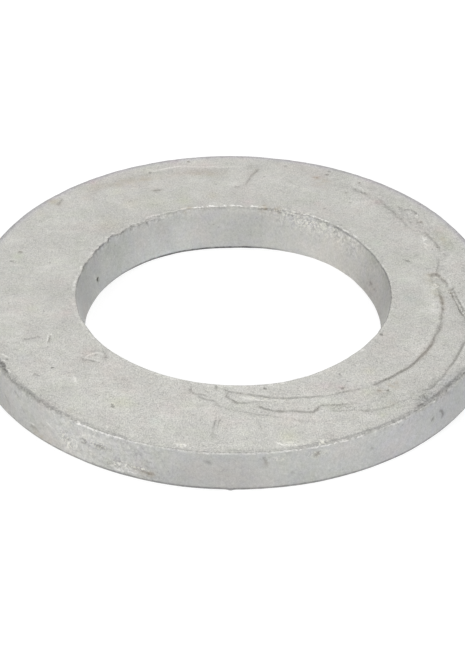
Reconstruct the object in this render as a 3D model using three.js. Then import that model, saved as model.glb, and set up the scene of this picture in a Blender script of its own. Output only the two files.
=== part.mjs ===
// Plain round washer, punched from steel plate and hot-dip galvanised.
// Suits a 24 mm bolt: nominal 44 mm outside, 4 mm thick.
//
// Units are millimetres, +Z up. The origin is the centre of the lower bearing
// face, and the bolt passes along +Z. The lower face is the die-roll side, with
// rounded edges. The upper face is the break side: there the blank's rim is a
// little smaller and its hole a little wider, because the plate tears at a slant
// as it is punched.

import * as THREE from 'three';

// ---- driving dimensions -------------------------------------------------
const THICKNESS = 3.70;          // between the two bearing faces, zinc included

const RIM_RADIUS_LOWER = 22.05;  // outside of the washer above its lower die roll
const RIM_RADIUS_UPPER = 21.87;  // outside of the washer below its upper edge

const BORE_RADIUS_LOWER = 12.42; // bolt hole above its lower die roll, its tightest place
const BORE_RADIUS_UPPER = 13.10; // bolt hole below its upper edge, its widest place

const DIE_ROLL = 0.28;           // radius of the two rounded edges of the lower face
const EDGE_BREAK = 0.10;         // blunting of the two upper edges by the zinc coat

const SEGMENTS = 144;            // steps round the washer
const ROLL_STEPS = 3;            // steps round each die roll

// ---- section of the ring ------------------------------------------------
// x is the radius and y the height. The outline closes on itself, and runs from
// the inner end of the lower face outwards, up the rim, in across the upper face
// and back down the bore.

function dieRoll(centreRadius, fromAngle, toAngle) {
  const points = [];
  for (let i = 0; i <= ROLL_STEPS; i++) {
    const a = fromAngle + (toAngle - fromAngle) * (i / ROLL_STEPS);
    points.push(new THREE.Vector2(
      centreRadius + DIE_ROLL * Math.cos(a),
      DIE_ROLL + DIE_ROLL * Math.sin(a)
    ));
  }
  return points;
}

function ringSection() {
  const outline = [
    // lower face ends and rolls up into the rim
    ...dieRoll(RIM_RADIUS_LOWER - DIE_ROLL, -Math.PI / 2, 0),
    // slanted rim up to the blunted upper edge
    new THREE.Vector2(RIM_RADIUS_UPPER, THICKNESS - EDGE_BREAK),
    new THREE.Vector2(RIM_RADIUS_UPPER - EDGE_BREAK, THICKNESS),
    // upper face to the mouth of the bore
    new THREE.Vector2(BORE_RADIUS_UPPER + EDGE_BREAK, THICKNESS),
    new THREE.Vector2(BORE_RADIUS_UPPER, THICKNESS - EDGE_BREAK),
    // slanted bore wall down to its die roll
    ...dieRoll(BORE_RADIUS_LOWER + DIE_ROLL, Math.PI, 1.5 * Math.PI)
  ];
  outline.push(outline[0].clone());
  return outline;
}

// ---- the one solid ------------------------------------------------------
// The lathe spins the section about its own Y axis, which is turned up to +Z.

function ringGeometry() {
  const geometry = new THREE.LatheGeometry(ringSection(), SEGMENTS);
  geometry.rotateX(Math.PI / 2);
  return geometry;
}

const galvanisedSteel = new THREE.MeshStandardMaterial({
  color: new THREE.Color(0.72, 0.725, 0.71),
  roughness: 0.62,
  metalness: 0.85
});

const washer = new THREE.Mesh(ringGeometry(), galvanisedSteel);
washer.name = 'washer_ring';

const part = new THREE.Group();
part.name = 'flat_washer';
part.add(washer);

export default part;
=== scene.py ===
import bpy, math
import numpy as np
from mathutils import Matrix, Vector


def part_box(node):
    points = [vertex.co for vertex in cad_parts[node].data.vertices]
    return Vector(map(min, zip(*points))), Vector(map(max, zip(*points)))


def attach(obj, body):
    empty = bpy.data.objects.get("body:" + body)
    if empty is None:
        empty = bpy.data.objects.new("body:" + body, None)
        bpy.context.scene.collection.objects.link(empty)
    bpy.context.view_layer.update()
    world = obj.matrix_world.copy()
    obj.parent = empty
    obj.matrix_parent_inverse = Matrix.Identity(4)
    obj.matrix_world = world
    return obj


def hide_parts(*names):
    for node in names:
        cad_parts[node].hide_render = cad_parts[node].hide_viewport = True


# ---------------------------------------------------------------------------
# A hot-dip galvanised plain washer, 44 mm across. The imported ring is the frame;
# one fine mesh stands for it, with the zinc's flow lines, its torn upper edges,
# pits, scratches and slightly uneven hole as real relief.
# All shaping is done in millimetres and turned to metres at the end.
# ---------------------------------------------------------------------------

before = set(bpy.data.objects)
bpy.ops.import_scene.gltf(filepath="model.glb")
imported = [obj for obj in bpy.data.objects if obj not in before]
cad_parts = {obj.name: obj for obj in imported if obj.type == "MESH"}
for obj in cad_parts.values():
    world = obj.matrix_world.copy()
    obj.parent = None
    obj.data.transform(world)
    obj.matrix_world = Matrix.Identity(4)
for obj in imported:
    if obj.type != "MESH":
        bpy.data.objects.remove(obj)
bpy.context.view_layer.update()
lo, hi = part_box("washer_ring")

RIM_LOW = hi.x * 1000.0            # outside radius above the lower die roll
THICK = hi.z * 1000.0              # between the bearing faces
RIM_UP = 21.82                     # outside radius below the upper edge
BORE_LOW = 12.42                   # hole radius above its die roll
BORE_UP = 13.10                    # hole radius below its mouth
ROLL = 0.28                        # die roll of both lower edges
U = 21.67                          # unit that the marks on the faces are given in
FACE = THICK - 0.045               # mean height of the upper face; its beads reach THICK

NA = 856                           # steps round the ring
STRETCH = [("bottom", 9), ("rim_roll", 4), ("rim", 18), ("rim_edge", 7),
           ("top", 52), ("mouth_edge", 7), ("bore", 15), ("bore_roll", 4)]
NP = sum(n for _, n in STRETCH)


def smooth(a, b, x):
    t = np.clip((x - a) / (b - a), 0.0, 1.0)
    return t * t * (3 - 2 * t)


# ---- repeatable noise on points in millimetres -----------------------------
LATTICE = np.random.default_rng(11).random((64, 64, 64)).astype(np.float32) * 2 - 1


def value_noise(p, step, shift=0.0):
    q = p / step + 31.7 + shift
    i = np.floor(q).astype(np.int64)
    f = q - i
    f = f * f * (3 - 2 * f)
    out = 0.0
    for dx in (0, 1):
        for dy in (0, 1):
            for dz in (0, 1):
                w = ((f[..., 0] if dx else 1 - f[..., 0])
                     * (f[..., 1] if dy else 1 - f[..., 1])
                     * (f[..., 2] if dz else 1 - f[..., 2]))
                out = out + w * LATTICE[(i[..., 0] + dx) % 64, (i[..., 1] + dy) % 64, (i[..., 2] + dz) % 64]
    return out


def fractal(p, step, octaves=3, gain=0.5, shift=0.0):
    total, amp, norm = 0.0, 1.0, 0.0
    for k in range(octaves):
        total = total + amp * value_noise(p, step / 2 ** k, shift + 7.3 * k)
        norm += amp
        amp *= gain
    return total / norm


def round_noise(theta, wave_mm, radius, shift):
    """Noise along the circle, with no seam."""
    p = np.stack([radius * np.cos(theta), radius * np.sin(theta), np.zeros_like(theta)], -1)
    return value_noise(p, wave_mm, shift)


def by_angle(theta, pairs):
    """A smooth curve round the ring through (degrees, value) pairs."""
    pairs = sorted(pairs)
    a = np.array([p[0] for p in pairs], float)
    v = np.array([p[1] for p in pairs], float)
    a = np.concatenate([a - 360, a, a + 360])
    v = np.concatenate([v, v, v])
    deg = np.degrees(theta) % 360
    k = np.clip(np.searchsorted(a, deg, side="right") - 1, 0, len(a) - 2)
    t = (deg - a[k]) / (a[k + 1] - a[k])
    t = t * t * (3 - 2 * t)
    return v[k] * (1 - t) + v[k + 1] * t


def band(theta, start, end, soft=2.0):
    """1 between two angles in degrees, 0 outside, with soft ends."""
    deg = np.degrees(theta) % 360
    mid, half = (start + end) / 2, (end - start) / 2
    d = np.abs((deg - mid + 180) % 360 - 180)
    return 1 - smooth(half - soft / 2, half + soft / 2, d)


# ---- the ring's section at every angle -------------------------------------
theta = np.arange(NA) / NA * 2 * math.pi
ct, st = np.cos(theta), np.sin(theta)

# how much the punched edges are blunted, in millimetres
rim_round = 0.12 + 0.02 * round_noise(theta, 3.0, 22, 1.0) \
    + by_angle(theta, [(0, .02), (60, .03), (120, .04), (190, .06), (212, .16), (228, .10), (240, .03),
                       (262, .0), (298, .02), (314, .12), (326, .14), (342, .05)])
rim_roll = ROLL + by_angle(theta, [(0, 0), (195, 0), (215, .06), (240, .13), (325, .13), (342, .06), (355, 0)])
mouth_round = 0.085 + 0.015 * round_noise(theta, 2.0, 13, 2.0) \
    + by_angle(theta, [(0, 0), (30, .02), (46, .10), (62, .20), (72, .14), (82, .04), (98, .03), (104, .05), (109, .28), (116, .32), (122, .16), (128, .06),
                       (150, .02), (180, .0), (270, .02)])
# the punched outlines wander a little and their upper edges are torn. The hole
# is slightly out of round, and widest where the plate tore furthest.
rim_low_off = 0.03 * round_noise(theta, 9.0, 22, 3.0) + 0.012 * round_noise(theta, 2.2, 22, 4.0)
rim_up_off = 0.03 * round_noise(theta, 9.0, 22, 3.0) + 0.022 * round_noise(theta, 2.6, 22, 5.0) \
    + 0.014 * round_noise(theta, 0.9, 22, 6.0)
bore_low_off = 0.012 * round_noise(theta, 1.8, 13, 8.0) \
    + by_angle(theta, [(10, .08), (22, .08), (30, .14), (38, .24), (48, .32), (56, .28), (64, .18), (70, .06), (77, -.05),
                       (84, -.20), (92, -.29), (104, -.24), (116, -.16), (128, -.06), (142, -.02), (160, .02), (176, .08),
                       (200, .0), (250, -.10), (300, -.04), (345, .04)])
bore_up_off = 0.022 * round_noise(theta, 2.0, 13, 9.0) + 0.016 * round_noise(theta, 0.8, 13, 10.0) \
    + by_angle(theta, [(0, .10), (10, .17), (20, .20), (30, .33), (40, .46), (50, .54), (60, .48), (75, .36), (85, .25),
                       (95, .24), (108, .40), (120, .48), (130, .44), (140, .44), (150, .36), (160, .20), (168, .13),
                       (180, .10), (194, .02), (206, -.09), (214, -.10), (220, -.18), (226, -.25), (234, -.28), (250, -.31),
                       (262, -.30), (270, -.25), (278, -.18), (288, -.12), (298, -.15), (308, -.18), (320, -.15), (328, -.10),
                       (336, -.03), (348, .05)])



def notches(wave_mm, radius, shift):
    """Noise with flat tops and steep flanks, as a torn edge has."""
    n = round_noise(theta, wave_mm, radius, shift)
    return np.sign(n) * np.abs(n) ** 0.55


mouth_ragged = by_angle(theta, [(0, .010), (25, .012), (38, .03), (50, .05), (60, .06), (74, .08), (84, .06), (96, .06), (108, .08),
                                (116, .15), (122, .20), (134, .18), (145, .16), (158, .11), (168, .03), (182, .008), (250, .015), (330, .01)])
rim_ragged = by_angle(theta, [(0, .01), (60, .015), (180, .015), (200, .04), (212, .06), (232, .05), (242, .03), (256, .02), (268, .03),
                              (284, .045), (300, .04), (314, .06), (328, .06), (342, .02)])
bore_up_off -= by_angle(theta, [(0, 0), (22, 0), (34, .08), (60, .08), (72, .05), (90, .04), (104, .10), (150, .10), (166, .04), (176, 0)])
mouth_teeth = mouth_ragged * (by_angle(theta, [(0, .8), (110, .8), (120, .26), (165, .26), (180, .8), (350, .8)]) * notches(0.85, 13, 61.0)
                               + by_angle(theta, [(0, 0), (112, 0), (120, .7), (158, .7), (166, 0)]) * notches(0.56, 13, 65.0)
                               + 0.7 * notches(0.36, 13, 62.0))
rim_up_off += by_angle(theta, [(8, 0), (24, -.06), (55, -.05), (72, -.02), (90, 0), (108, -.01), (125, -.06), (155, -.08), (170, -.04),
                               (182, 0), (350, 0)])
rim_teeth = rim_ragged * (notches(0.95, 22, 63.0) + 0.5 * notches(0.42, 22, 64.0))

ro_l = np.minimum(RIM_LOW - 0.035 + rim_low_off, RIM_LOW)
ro_u = RIM_UP + rim_up_off + rim_teeth
rb_l = BORE_LOW + bore_low_off
rb_u = BORE_UP + bore_up_off + mouth_teeth

rad = np.zeros((NA, NP))
hgt = np.zeros((NA, NP))
kind = np.zeros(NP, int)
share = np.zeros(NP)               # how far along its own stretch each ring of points is
col = 0
for index, (name, n) in enumerate(STRETCH):
    for k in range(n):
        s = k / n
        kind[col], share[col] = index, s
        if name == "bottom":
            # finer near both rolled edges
            e = 0.5 - 0.5 * math.cos(math.pi * s)
            e = 0.35 * e + 0.65 * s
            rad[:, col] = (rb_l + ROLL) * (1 - e) + (ro_l - rim_roll) * e
        elif name == "rim_roll":
            a = -math.pi / 2 * (1 - s)
            rad[:, col] = ro_l - rim_roll + rim_roll * math.cos(a)
            hgt[:, col] = rim_roll + rim_roll * math.sin(a)
        elif name == "rim":
            s = 1 - (1 - s) ** 1.2
            hgt[:, col] = rim_roll * (1 - s) + (FACE - rim_round) * s
            rad[:, col] = ro_l * (1 - s) + (ro_u - rim_teeth) * s + rim_teeth * np.exp(-(FACE - rim_round - hgt[:, col]) / 0.20)
        elif name == "rim_edge":
            a = math.pi / 2 * s
            rad[:, col] = ro_u - rim_round + rim_round * math.cos(a)
            hgt[:, col] = FACE - rim_round + rim_round * math.sin(a)
        elif name == "top":
            # rings lie closer together towards both edges
            s = s - 0.085 * math.sin(2 * math.pi * s)
            rad[:, col] = (ro_u - rim_round) * (1 - s) + (rb_u + mouth_round) * s
            hgt[:, col] = FACE
        elif name == "mouth_edge":
            a = math.pi / 2 * (1 + s)
            rad[:, col] = rb_u + mouth_round + mouth_round * math.cos(a)
            hgt[:, col] = FACE - mouth_round + mouth_round * math.sin(a)
        elif name == "bore":
            s = s ** 1.15
            hgt[:, col] = (FACE - mouth_round) * (1 - s) + ROLL * s
            rad[:, col] = rb_l + (rb_u - mouth_teeth - rb_l) * (1 - s) ** 1.2 + mouth_teeth * np.exp(-(FACE - mouth_round - hgt[:, col]) / 0.20)
        elif name == "bore_roll":
            a = math.pi + math.pi / 2 * s
            rad[:, col] = rb_l + ROLL + ROLL * math.cos(a)
            hgt[:, col] = ROLL + ROLL * math.sin(a)
        col += 1

P = np.stack([rad * ct[:, None], rad * st[:, None], hgt], -1)
# distance along the section from the crown of each upper edge: the rim's grows
# inwards over the face, the hole's grows down the hole
length = np.concatenate([np.zeros((NA, 1)), np.cumsum(np.hypot(np.diff(rad, axis=1), np.diff(hgt, axis=1)), 1)], 1)


def crown(name):
    first = int(np.argmax(kind == [n for n, _ in STRETCH].index(name)))
    return (length - (length[:, [first]] + length[:, [first + 7]]) / 2).clip(-3, 3)


from_rim = crown("rim_edge")
from_mouth = crown("mouth_edge")
TH = np.repeat(theta[:, None], NP, 1)
KIND = np.repeat(kind[None], NA, 0)
names = [n for n, _ in STRETCH]
on = lambda *which: np.isin(KIND, [names.index(w) for w in which])
on_top = on("top", "rim_edge", "mouth_edge")
on_rim = on("rim", "rim_roll", "rim_edge")
on_bore = on("bore", "bore_roll", "mouth_edge")


def normals(points):
    du = np.roll(points, -1, 0) - np.roll(points, 1, 0)
    dv = np.roll(points, -1, 1) - np.roll(points, 1, 1)
    n = np.cross(du, dv)
    return n / np.maximum(np.linalg.norm(n, axis=-1, keepdims=True), 1e-12)


N = normals(P)

# ---- marks on the surface ---------------------------------------------------
# Lines are given on the upper face as x, y in rim radii, or on a wall as the
# angle in degrees and the height in rim radii, then how strong they are, how
# brown, and how wide. A dark line is a crease in the relief with painted shade
# in it and a painted highlight beside it. A line's left side, going along it, carries the bead.


def spline(points, step):
    p = np.array([(list(q) + [0, 1])[:5] if len(q) == 3 else (list(q) + [1])[:5] for q in points], float)
    if len(p) < 3:
        k = max(2, int(np.linalg.norm(p[-1, :2] - p[0, :2]) / step))
        t = np.linspace(0, 1, k)[:, None]
        return p[0] * (1 - t) + p[-1] * t
    q = np.vstack([2 * p[0] - p[1], p, 2 * p[-1] - p[-2]])
    out = []
    for i in range(1, len(q) - 2):
        k = max(2, int(math.ceil(np.linalg.norm(q[i + 1, :2] - q[i, :2]) / step)))
        for t in np.arange(k) / k:
            out.append(0.5 * ((2 * q[i]) + (-q[i - 1] + q[i + 1]) * t
                              + (2 * q[i - 1] - 5 * q[i] + 4 * q[i + 1] - q[i + 2]) * t * t
                              + (-q[i - 1] + 3 * q[i] - 3 * q[i + 1] + q[i + 2]) * t ** 3))
    out.append(q[-2])
    return np.array(out)


REACH = 1.6     # millimetres that a line's field covers


class Field:
    """Signed distance to the nearest of a set of lines that lie well apart, with their strength and tint there."""

    def __init__(self):
        self.d = np.full((NA, NP), REACH)
        self.s = np.zeros((NA, NP))
        self.b = np.zeros((NA, NP))
        self.w = np.ones((NA, NP))

    def add(self, where, A, B, points, scale_a, scale_b):
        line = spline([(q[0] * scale_a, q[1] * scale_b) + tuple(q[2:]) for q in points], 0.06)
        tan = np.gradient(line[:, :2], axis=0)
        tan /= np.maximum(np.linalg.norm(tan, axis=1, keepdims=True), 1e-9)
        near = where & (A > line[:, 0].min() - REACH) & (A < line[:, 0].max() + REACH) \
            & (B > line[:, 1].min() - REACH) & (B < line[:, 1].max() + REACH)
        idx = np.flatnonzero(near.ravel())
        a, b = A.ravel()[idx], B.ravel()[idx]
        for c in range(0, len(idx), 4000):
            sl = slice(c, c + 4000)
            da = a[sl, None] - line[None, :, 0]
            db = b[sl, None] - line[None, :, 1]
            k = (da * da + db * db).argmin(1)
            r = np.arange(len(k))
            va, vb = da[r, k], db[r, k]
            along = va * tan[k, 0] + vb * tan[k, 1]
            side = tan[k, 0] * vb - tan[k, 1] * va
            over = ((k == 0) & (along < 0)) | ((k == len(line) - 1) & (along > 0))
            dist = np.where(over, np.hypot(va, vb), np.abs(side))
            sign = np.where(side >= 0, 1.0, -1.0)
            ids = idx[sl]
            better = dist < np.abs(self.d.ravel()[ids])
            ids, dist, sign, k, over, along = (v[better] for v in (ids, dist, sign, k, over, along))
            fade = np.where(over, 1 - smooth(0.02, 0.22, np.abs(along)), 1.0)
            self.d.ravel()[ids] = sign * dist
            self.s.ravel()[ids] = line[k, 2] * fade
            self.b.ravel()[ids] = line[k, 3]
            self.w.ravel()[ids] = line[k, 4]


X, Y, Z = P[..., 0], P[..., 1], P[..., 2]
rim_arc = np.degrees(TH) % 360          # walls are unrolled: degrees across, height up
ARC_RIM = math.radians(1) * 22.0
ARC_BORE = math.radians(1) * 13.0
bore_deg = (np.degrees(TH) + 90) % 360 - 90



def soft(points, strength, width=1.0):
    """The same line fainter, or wider and softer."""
    return [(q[0], q[1], q[2] * strength, (q[3] if len(q) > 3 else 0), (q[4] if len(q) > 4 else 1) * width) for q in points]


face_lines = [
    # -- first set: the long crease that runs from the front of the hole round to the right
    (0, [(-.030, -.622, .45), (-.015, -.636, .6), (0, -.640, .6), (.05, -.651, .6), (.10, -.662, .65),
         (.15, -.672, .6), (.20, -.675, .7), (.25, -.669, .55), (.30, -.663, .6), (.35, -.655, .3),
         (.38, -.647, .5), (.41, -.632, .6), (.45, -.620, .45), (.48, -.606, .35), (.505, -.597, .2), (.523, -.587, .2),
         (.53, -.581, .95), (.56, -.560, 1, .1), (.59, -.536, .95, .15), (.62, -.508, 1, .25), (.65, -.482, 1, .3), (.68, -.447, 1, .4),
         (.70, -.414, 1, .7), (.716, -.388, 1, 1), (.7215, -.383, 1, 1), (.735, -.357, .9, .9), (.748, -.330, 1, .8),
         (.757, -.305, .9, .6), (.762, -.285, .7, .6), (.7725, -.257, .6, .3, 1.2), (.783, -.235, .65, .3, 1.5),
         (.790, -.207, .7, .3, 1.7), (.794, -.190, .5, .3, 1.4), (.7965, -.165, .3, .3, 1.2), (.7975, -.148, .7, .5, 1.1),
         (.801, -.120, .4, .8, 1.0), (.8055, -.090, .9, .8, 1.0), (.8065, -.070, .4, .8, 1.0), (.8075, -.050, .9, 1, 1.1), (.807, -.035, .5, 1, 1.1),
         (.804, -.015, .8, 1, 1.1), (.800, .010, .4, .7, 1.1), (.7985, .030, .45, .6, 1.1), (.797, .050, .3, .4, 1.2),
         (.800, .075, .3, .2, 1.2), (.799, .090, .2)]),
    (0, soft([(.852, .050, .6), (.8466, .037, 1.3, .8, 1.1), (.8455, .028, .3, .5, .8), (.8455, .018, 1.3, .8, 1.1), (.847, .008, .3, .4, .8),
         (.849, -.002, 1.2, .6, 1.0), (.852, -.014, .5, .3, .7), (.855, -.026, 1.1, .3, .7), (.858, -.036, .6, .3, .7), (.861, -.050, 1.1, .2, .7),
         (.865, -.072, .9, 0, .7), (.869, -.092, 1.2, 0, .7), (.873, -.108, 1.2, 0, .7), (.879, -.122, 1.2, 0, .7), (.887, -.139, 1.1, 0, .8), (.896, -.165, .9),
         (.905, -.200, .7), (.917, -.240, .5), (.926, -.285, .35), (.93, -.33, .2)], 1.3)),
    (0, [(.853, .039, .4, 0, .7), (.859, .013, .8, 0, .7), (.864, -.013, .7, 0, .7), (.872, -.047, .9, 0, .7), (.881, -.077, .8, 0, .7),
         (.889, -.099, .5, 0, .7), (.896, -.118, .2, 0, .7)]),
    # -- second set
    (1, soft([(.772, .128, .4, .8, 1.2), (.778, .140, .8, .9, 1.3), (.788, .146, 1.1, 1, 1.4), (.797, .142, 1.1, .8, 1.3), (.804, .130, .9, .6, 1.2),
         (.813, .113, 1, .6, 1.2), (.822, .098, .9, .5, 1.1), (.829, .082, .8, .4), (.830, .068, .5), (.824, .055, .35)], .85)),
    (1, soft([(.895, -.240, .2), (.885, -.280, .4), (.873, -.315, .8), (.8604, -.351, .9), (.849, -.381, .85),
         (.837, -.414, .9), (.8246, -.442, .8), (.812, -.462, .7), (.800, -.488, .5), (.788, -.515, .6), (.775, -.540, .5),
         (.762, -.553, .8), (.755, -.567, .8), (.748, -.582, .7), (.738, -.598, .7), (.725, -.607, .6), (.712, -.610, .5),
         (.700, -.618, .4), (.680, -.630, .3), (.660, -.634, .35), (.648, -.637, .4), (.630, -.645, .2)], .85, 1.0)),
    (1, soft([(-.020, -.636, .5), (-.022, -.655, .8, .2), (-.020, -.668, .9, .3), (-.006, -.682, .7), (.004, -.694, .9, .3),
         (.015, -.704, .9, .3), (.035, -.706, .7), (.065, -.701, .4), (.090, -.695, .6), (.120, -.697, .4), (.150, -.693, .7),
         (.180, -.695, .4), (.200, -.697, .6, .4), (.210, -.702, .4)], .78, .9)),
    (1, soft([(.485, .757, .5, .0, 1.2), (.495, .751, .7, 0, 1.2), (.508, .742, .6), (.520, .731, .8, 0, 1.1), (.532, .722, .8, .4, 1.2),
         (.545, .710, .4), (.560, .700, .3), (.575, .690, .35), (.590, .680, .4), (.600, .660, .5), (.608, .642, .8),
         (.615, .625, .6), (.625, .610, .5), (.635, .598, .7), (.645, .583, .6), (.653, .570, .6), (.660, .555, .6),
         (.668, .540, .7), (.675, .525, .6), (.685, .505, .7), (.692, .485, .6), (.700, .472, .4), (.712, .465, .4),
         (.725, .455, .3)], .7, 1.25)),
    # -- third set
    (2, [(.797, .150, .5, .3), (.797, .165, .4), (.798, .180, .4), (.803, .200, .4), (.806, .225, .4), (.805, .245, .3),
         (.800, .260, .2)]),
    (2, soft([(.785, -.530, .5), (.781, -.555, .6), (.773, -.568, .5), (.765, -.585, .4), (.752, -.600, .3)], .5)),
    (2, [(.372, -.748, .5), (.400, -.747, .4, .4), (.430, -.743, .5), (.460, -.743, .3), (.490, -.746, .5, .3), (.520, -.742, .4),
         (.545, -.732, .4), (.565, -.724, .45), (.590, -.710, .3), (.610, -.690, .25), (.640, -.672, .3), (.660, -.662, .3)]),
    (2, soft([(-.152, -.604, .5), (-.156, -.617, .8), (-.155, -.632, .9), (-.147, -.646, .8, .3), (-.135, -.652, .7, .3),
         (-.120, -.654, .8), (-.105, -.660, .8), (-.090, -.667, .5), (-.080, -.670, .2)], .65)),
    (2, soft([(.100, -.727, 1), (.115, -.736, 1), (.130, -.744, .9), (.150, -.750, .9), (.180, -.755, 1, .3), (.200, -.753, .8),
         (.220, -.750, .8), (.240, -.753, .8, .3), (.255, -.756, .9), (.290, -.757, 1, .3), (.303, -.750, .8, .3),
         (.311, -.737, 1, .7), (.318, -.726, .7, .5), (.330, -.714, .8), (.345, -.714, .6), (.360, -.713, .7, .4),
         (.385, -.711, .7, .4), (.410, -.707, .7, .4), (.435, -.704, .5, .3), (.455, -.698, .35), (.470, -.690, .15)], .80)),
    (2, [(.655, .630, .3, .4), (.668, .620, .5, .6), (.680, .612, .3), (.690, .604, .6), (.700, .606, .4), (.712, .607, .6),
         (.720, .598, .5), (.732, .582, .7), (.728, .568, .4), (.724, .555, .5), (.728, .542, .4), (.734, .527, .3),
         (.735, .515, .4), (.745, .517, .5, .6), (.752, .515, .6, .6), (.760, .510, .3)]),
    (2, [(.760, .440, .4), (.768, .430, .6, .3), (.775, .415, .6), (.784, .402, .6), (.792, .385, .4), (.798, .372, .5),
         (.805, .355, .6), (.810, .338, .6), (.814, .325, .4), (.819, .310, .3), (.828, .295, .4), (.835, .277, .3)]),
    (2, soft([(.505, .808, .5), (.515, .800, .5), (.540, .775, .5), (.553, .768, .6), (.567, .760, .7), (.578, .752, .5),
         (.600, .735, .3), (.620, .710, .3), (.640, .690, .3)], .45, 1.2)),
    # -- fourth set: outer boundary, scratches, cracks and short marks
    (3, [(-.125, -.667, .5), (-.105, -.680, .6), (-.085, -.688, .6), (-.065, -.694, .6), (-.058, -.700, .5),
         (-.055, -.715, .4), (-.045, -.728, .4), (-.025, -.737, .35), (0, -.745, .35), (.020, -.754, .4), (.035, -.755, .4),
         (.070, -.767, .35), (.100, -.775, .45), (.130, -.778, .4), (.150, -.785, .4), (.180, -.790, .3), (.220, -.800, .25),
         (.250, -.810, .3), (.300, -.812, .3), (.350, -.808, .25), (.400, -.800, .25), (.460, -.790, .2)]),
    (3, [(.755, -.530, .4), (.745, -.555, .5), (.738, -.575, .4), (.733, -.592, .6)]),
    (3, soft([(.098, .906, .6, .6, 1.4), (.090, .890, .9, .6, 1.4), (.084, .878, .9, .5, 1.2), (.069, .848, .8, .6, 1.0),
         (.057, .817, .8, .5), (.046, .790, .7, .3), (.040, .776, .5), (.030, .769, .3), (.022, .767, .7), (.010, .767, .8), (.002, .768, .5)], .65, .9)),
    (3, [(-.457, .807, .1, 0, 1.6), (-.400, .839, .2, 0, 1.8), (-.348, .861, .22, 0, 1.8), (-.307, .874, .2, 0, 1.8), (-.260, .890, .2, 0, 1.8), (-.231, .899, .12)]),
    (3, soft([(-.337, .731, .5), (-.325, .732, 1, .3, 1.3), (-.310, .734, 1, .3, 1.3), (-.297, .737, .7), (-.288, .739, .4)], .68)),
    (3, soft([(-.714, .615, .6, .8, 1.3), (-.711, .625, 1, .9, 1.6), (-.705, .638, 1, .3, 1.2), (-.702, .652, .9, 0, 1.3),
         (-.700, .664, .5)], .55, .8)),
    (3, [(-.790, -.318, .6), (-.775, -.316, .6), (-.765, -.310, .5), (-.750, -.306, .5), (-.735, -.302, .4),
         (-.725, -.299, .5)]),
    (3, [(-.694, -.292, .7, 0, .7), (-.695, -.312, .9, 0, .7), (-.696, -.330, .7, .3, .8)]),
    (2, [(-.585, -.430, .3), (-.570, -.436, .3), (-.553, -.447, .6), (-.538, -.449, .4), (-.522, -.453, .7),
         (-.512, -.455, .4), (-.503, -.456, .6)]),
    (3, [(-.562, -.410, .2), (-.560, -.398, .35), (-.540, -.390, .25), (-.515, -.382, .35), (-.500, -.384, .3),
         (-.485, -.395, .25), (-.478, -.410, .3, .6, .6), (-.477, -.425, .4, .6, .6), (-.480, -.445, .15)]),
    (3, [(-.041, -.796, .25, 0, .6), (-.044, -.808, .55, 0, .6), (-.049, -.830, .5, 0, .6), (-.055, -.851, .3, 0, .6)]),
    (2, [(-.058, -.790, .3, 0, .6), (-.060, -.805, .4, 0, .6), (-.063, -.825, .5, 0, .6), (-.067, -.846, .5, 0, .6), (-.070, -.873, .2, 0, .7), (-.072, -.891, .3, 0, .7),
         (-.075, -.911, .25)]),
    # crumbled places along the rim at the right of the front
    (3, [(.704, -.645, .6, 0, 1.1), (.709, -.654, .8, 0, 1.2), (.714, -.664, .9, 0, 1.3), (.722, -.672, .6, 0, 1.1)]),
    (3, [(.682, -.712, .5, 0, 1.2), (.690, -.705, .8, 0, 1.4), (.702, -.697, .4, 0, 1.2)]),
    (3, [(.738, -.660, .3, 0, 1.2), (.748, -.652, .5, 0, 1.3), (.762, -.636, .5, 0, 1.4), (.775, -.618, .3, 0, 1.3)]),
    (3, [(.790, -.596, .3, 0, 1.3), (.800, -.585, .6, 0, 1.5), (.815, -.563, .4, 0, 1.3)]),
    (3, [(-.060, -.603, .6), (-.0595, -.618, .6), (-.055, -.630, .4)]),
    (3, [(.705, .515, .2), (.720, .500, .2)]),
    (3, [(.584, -.586, .25, .9, .8), (.592, -.581, .3, 1, .8), (.600, -.576, .35, 1, .9), (.608, -.576, .35, .9, .8), (.613, -.583, .25, .6, .8)]),
    (3, [(.603, -.571, .25, .8, .8), (.609, -.563, .25, .8, .8)]),
]
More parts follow.
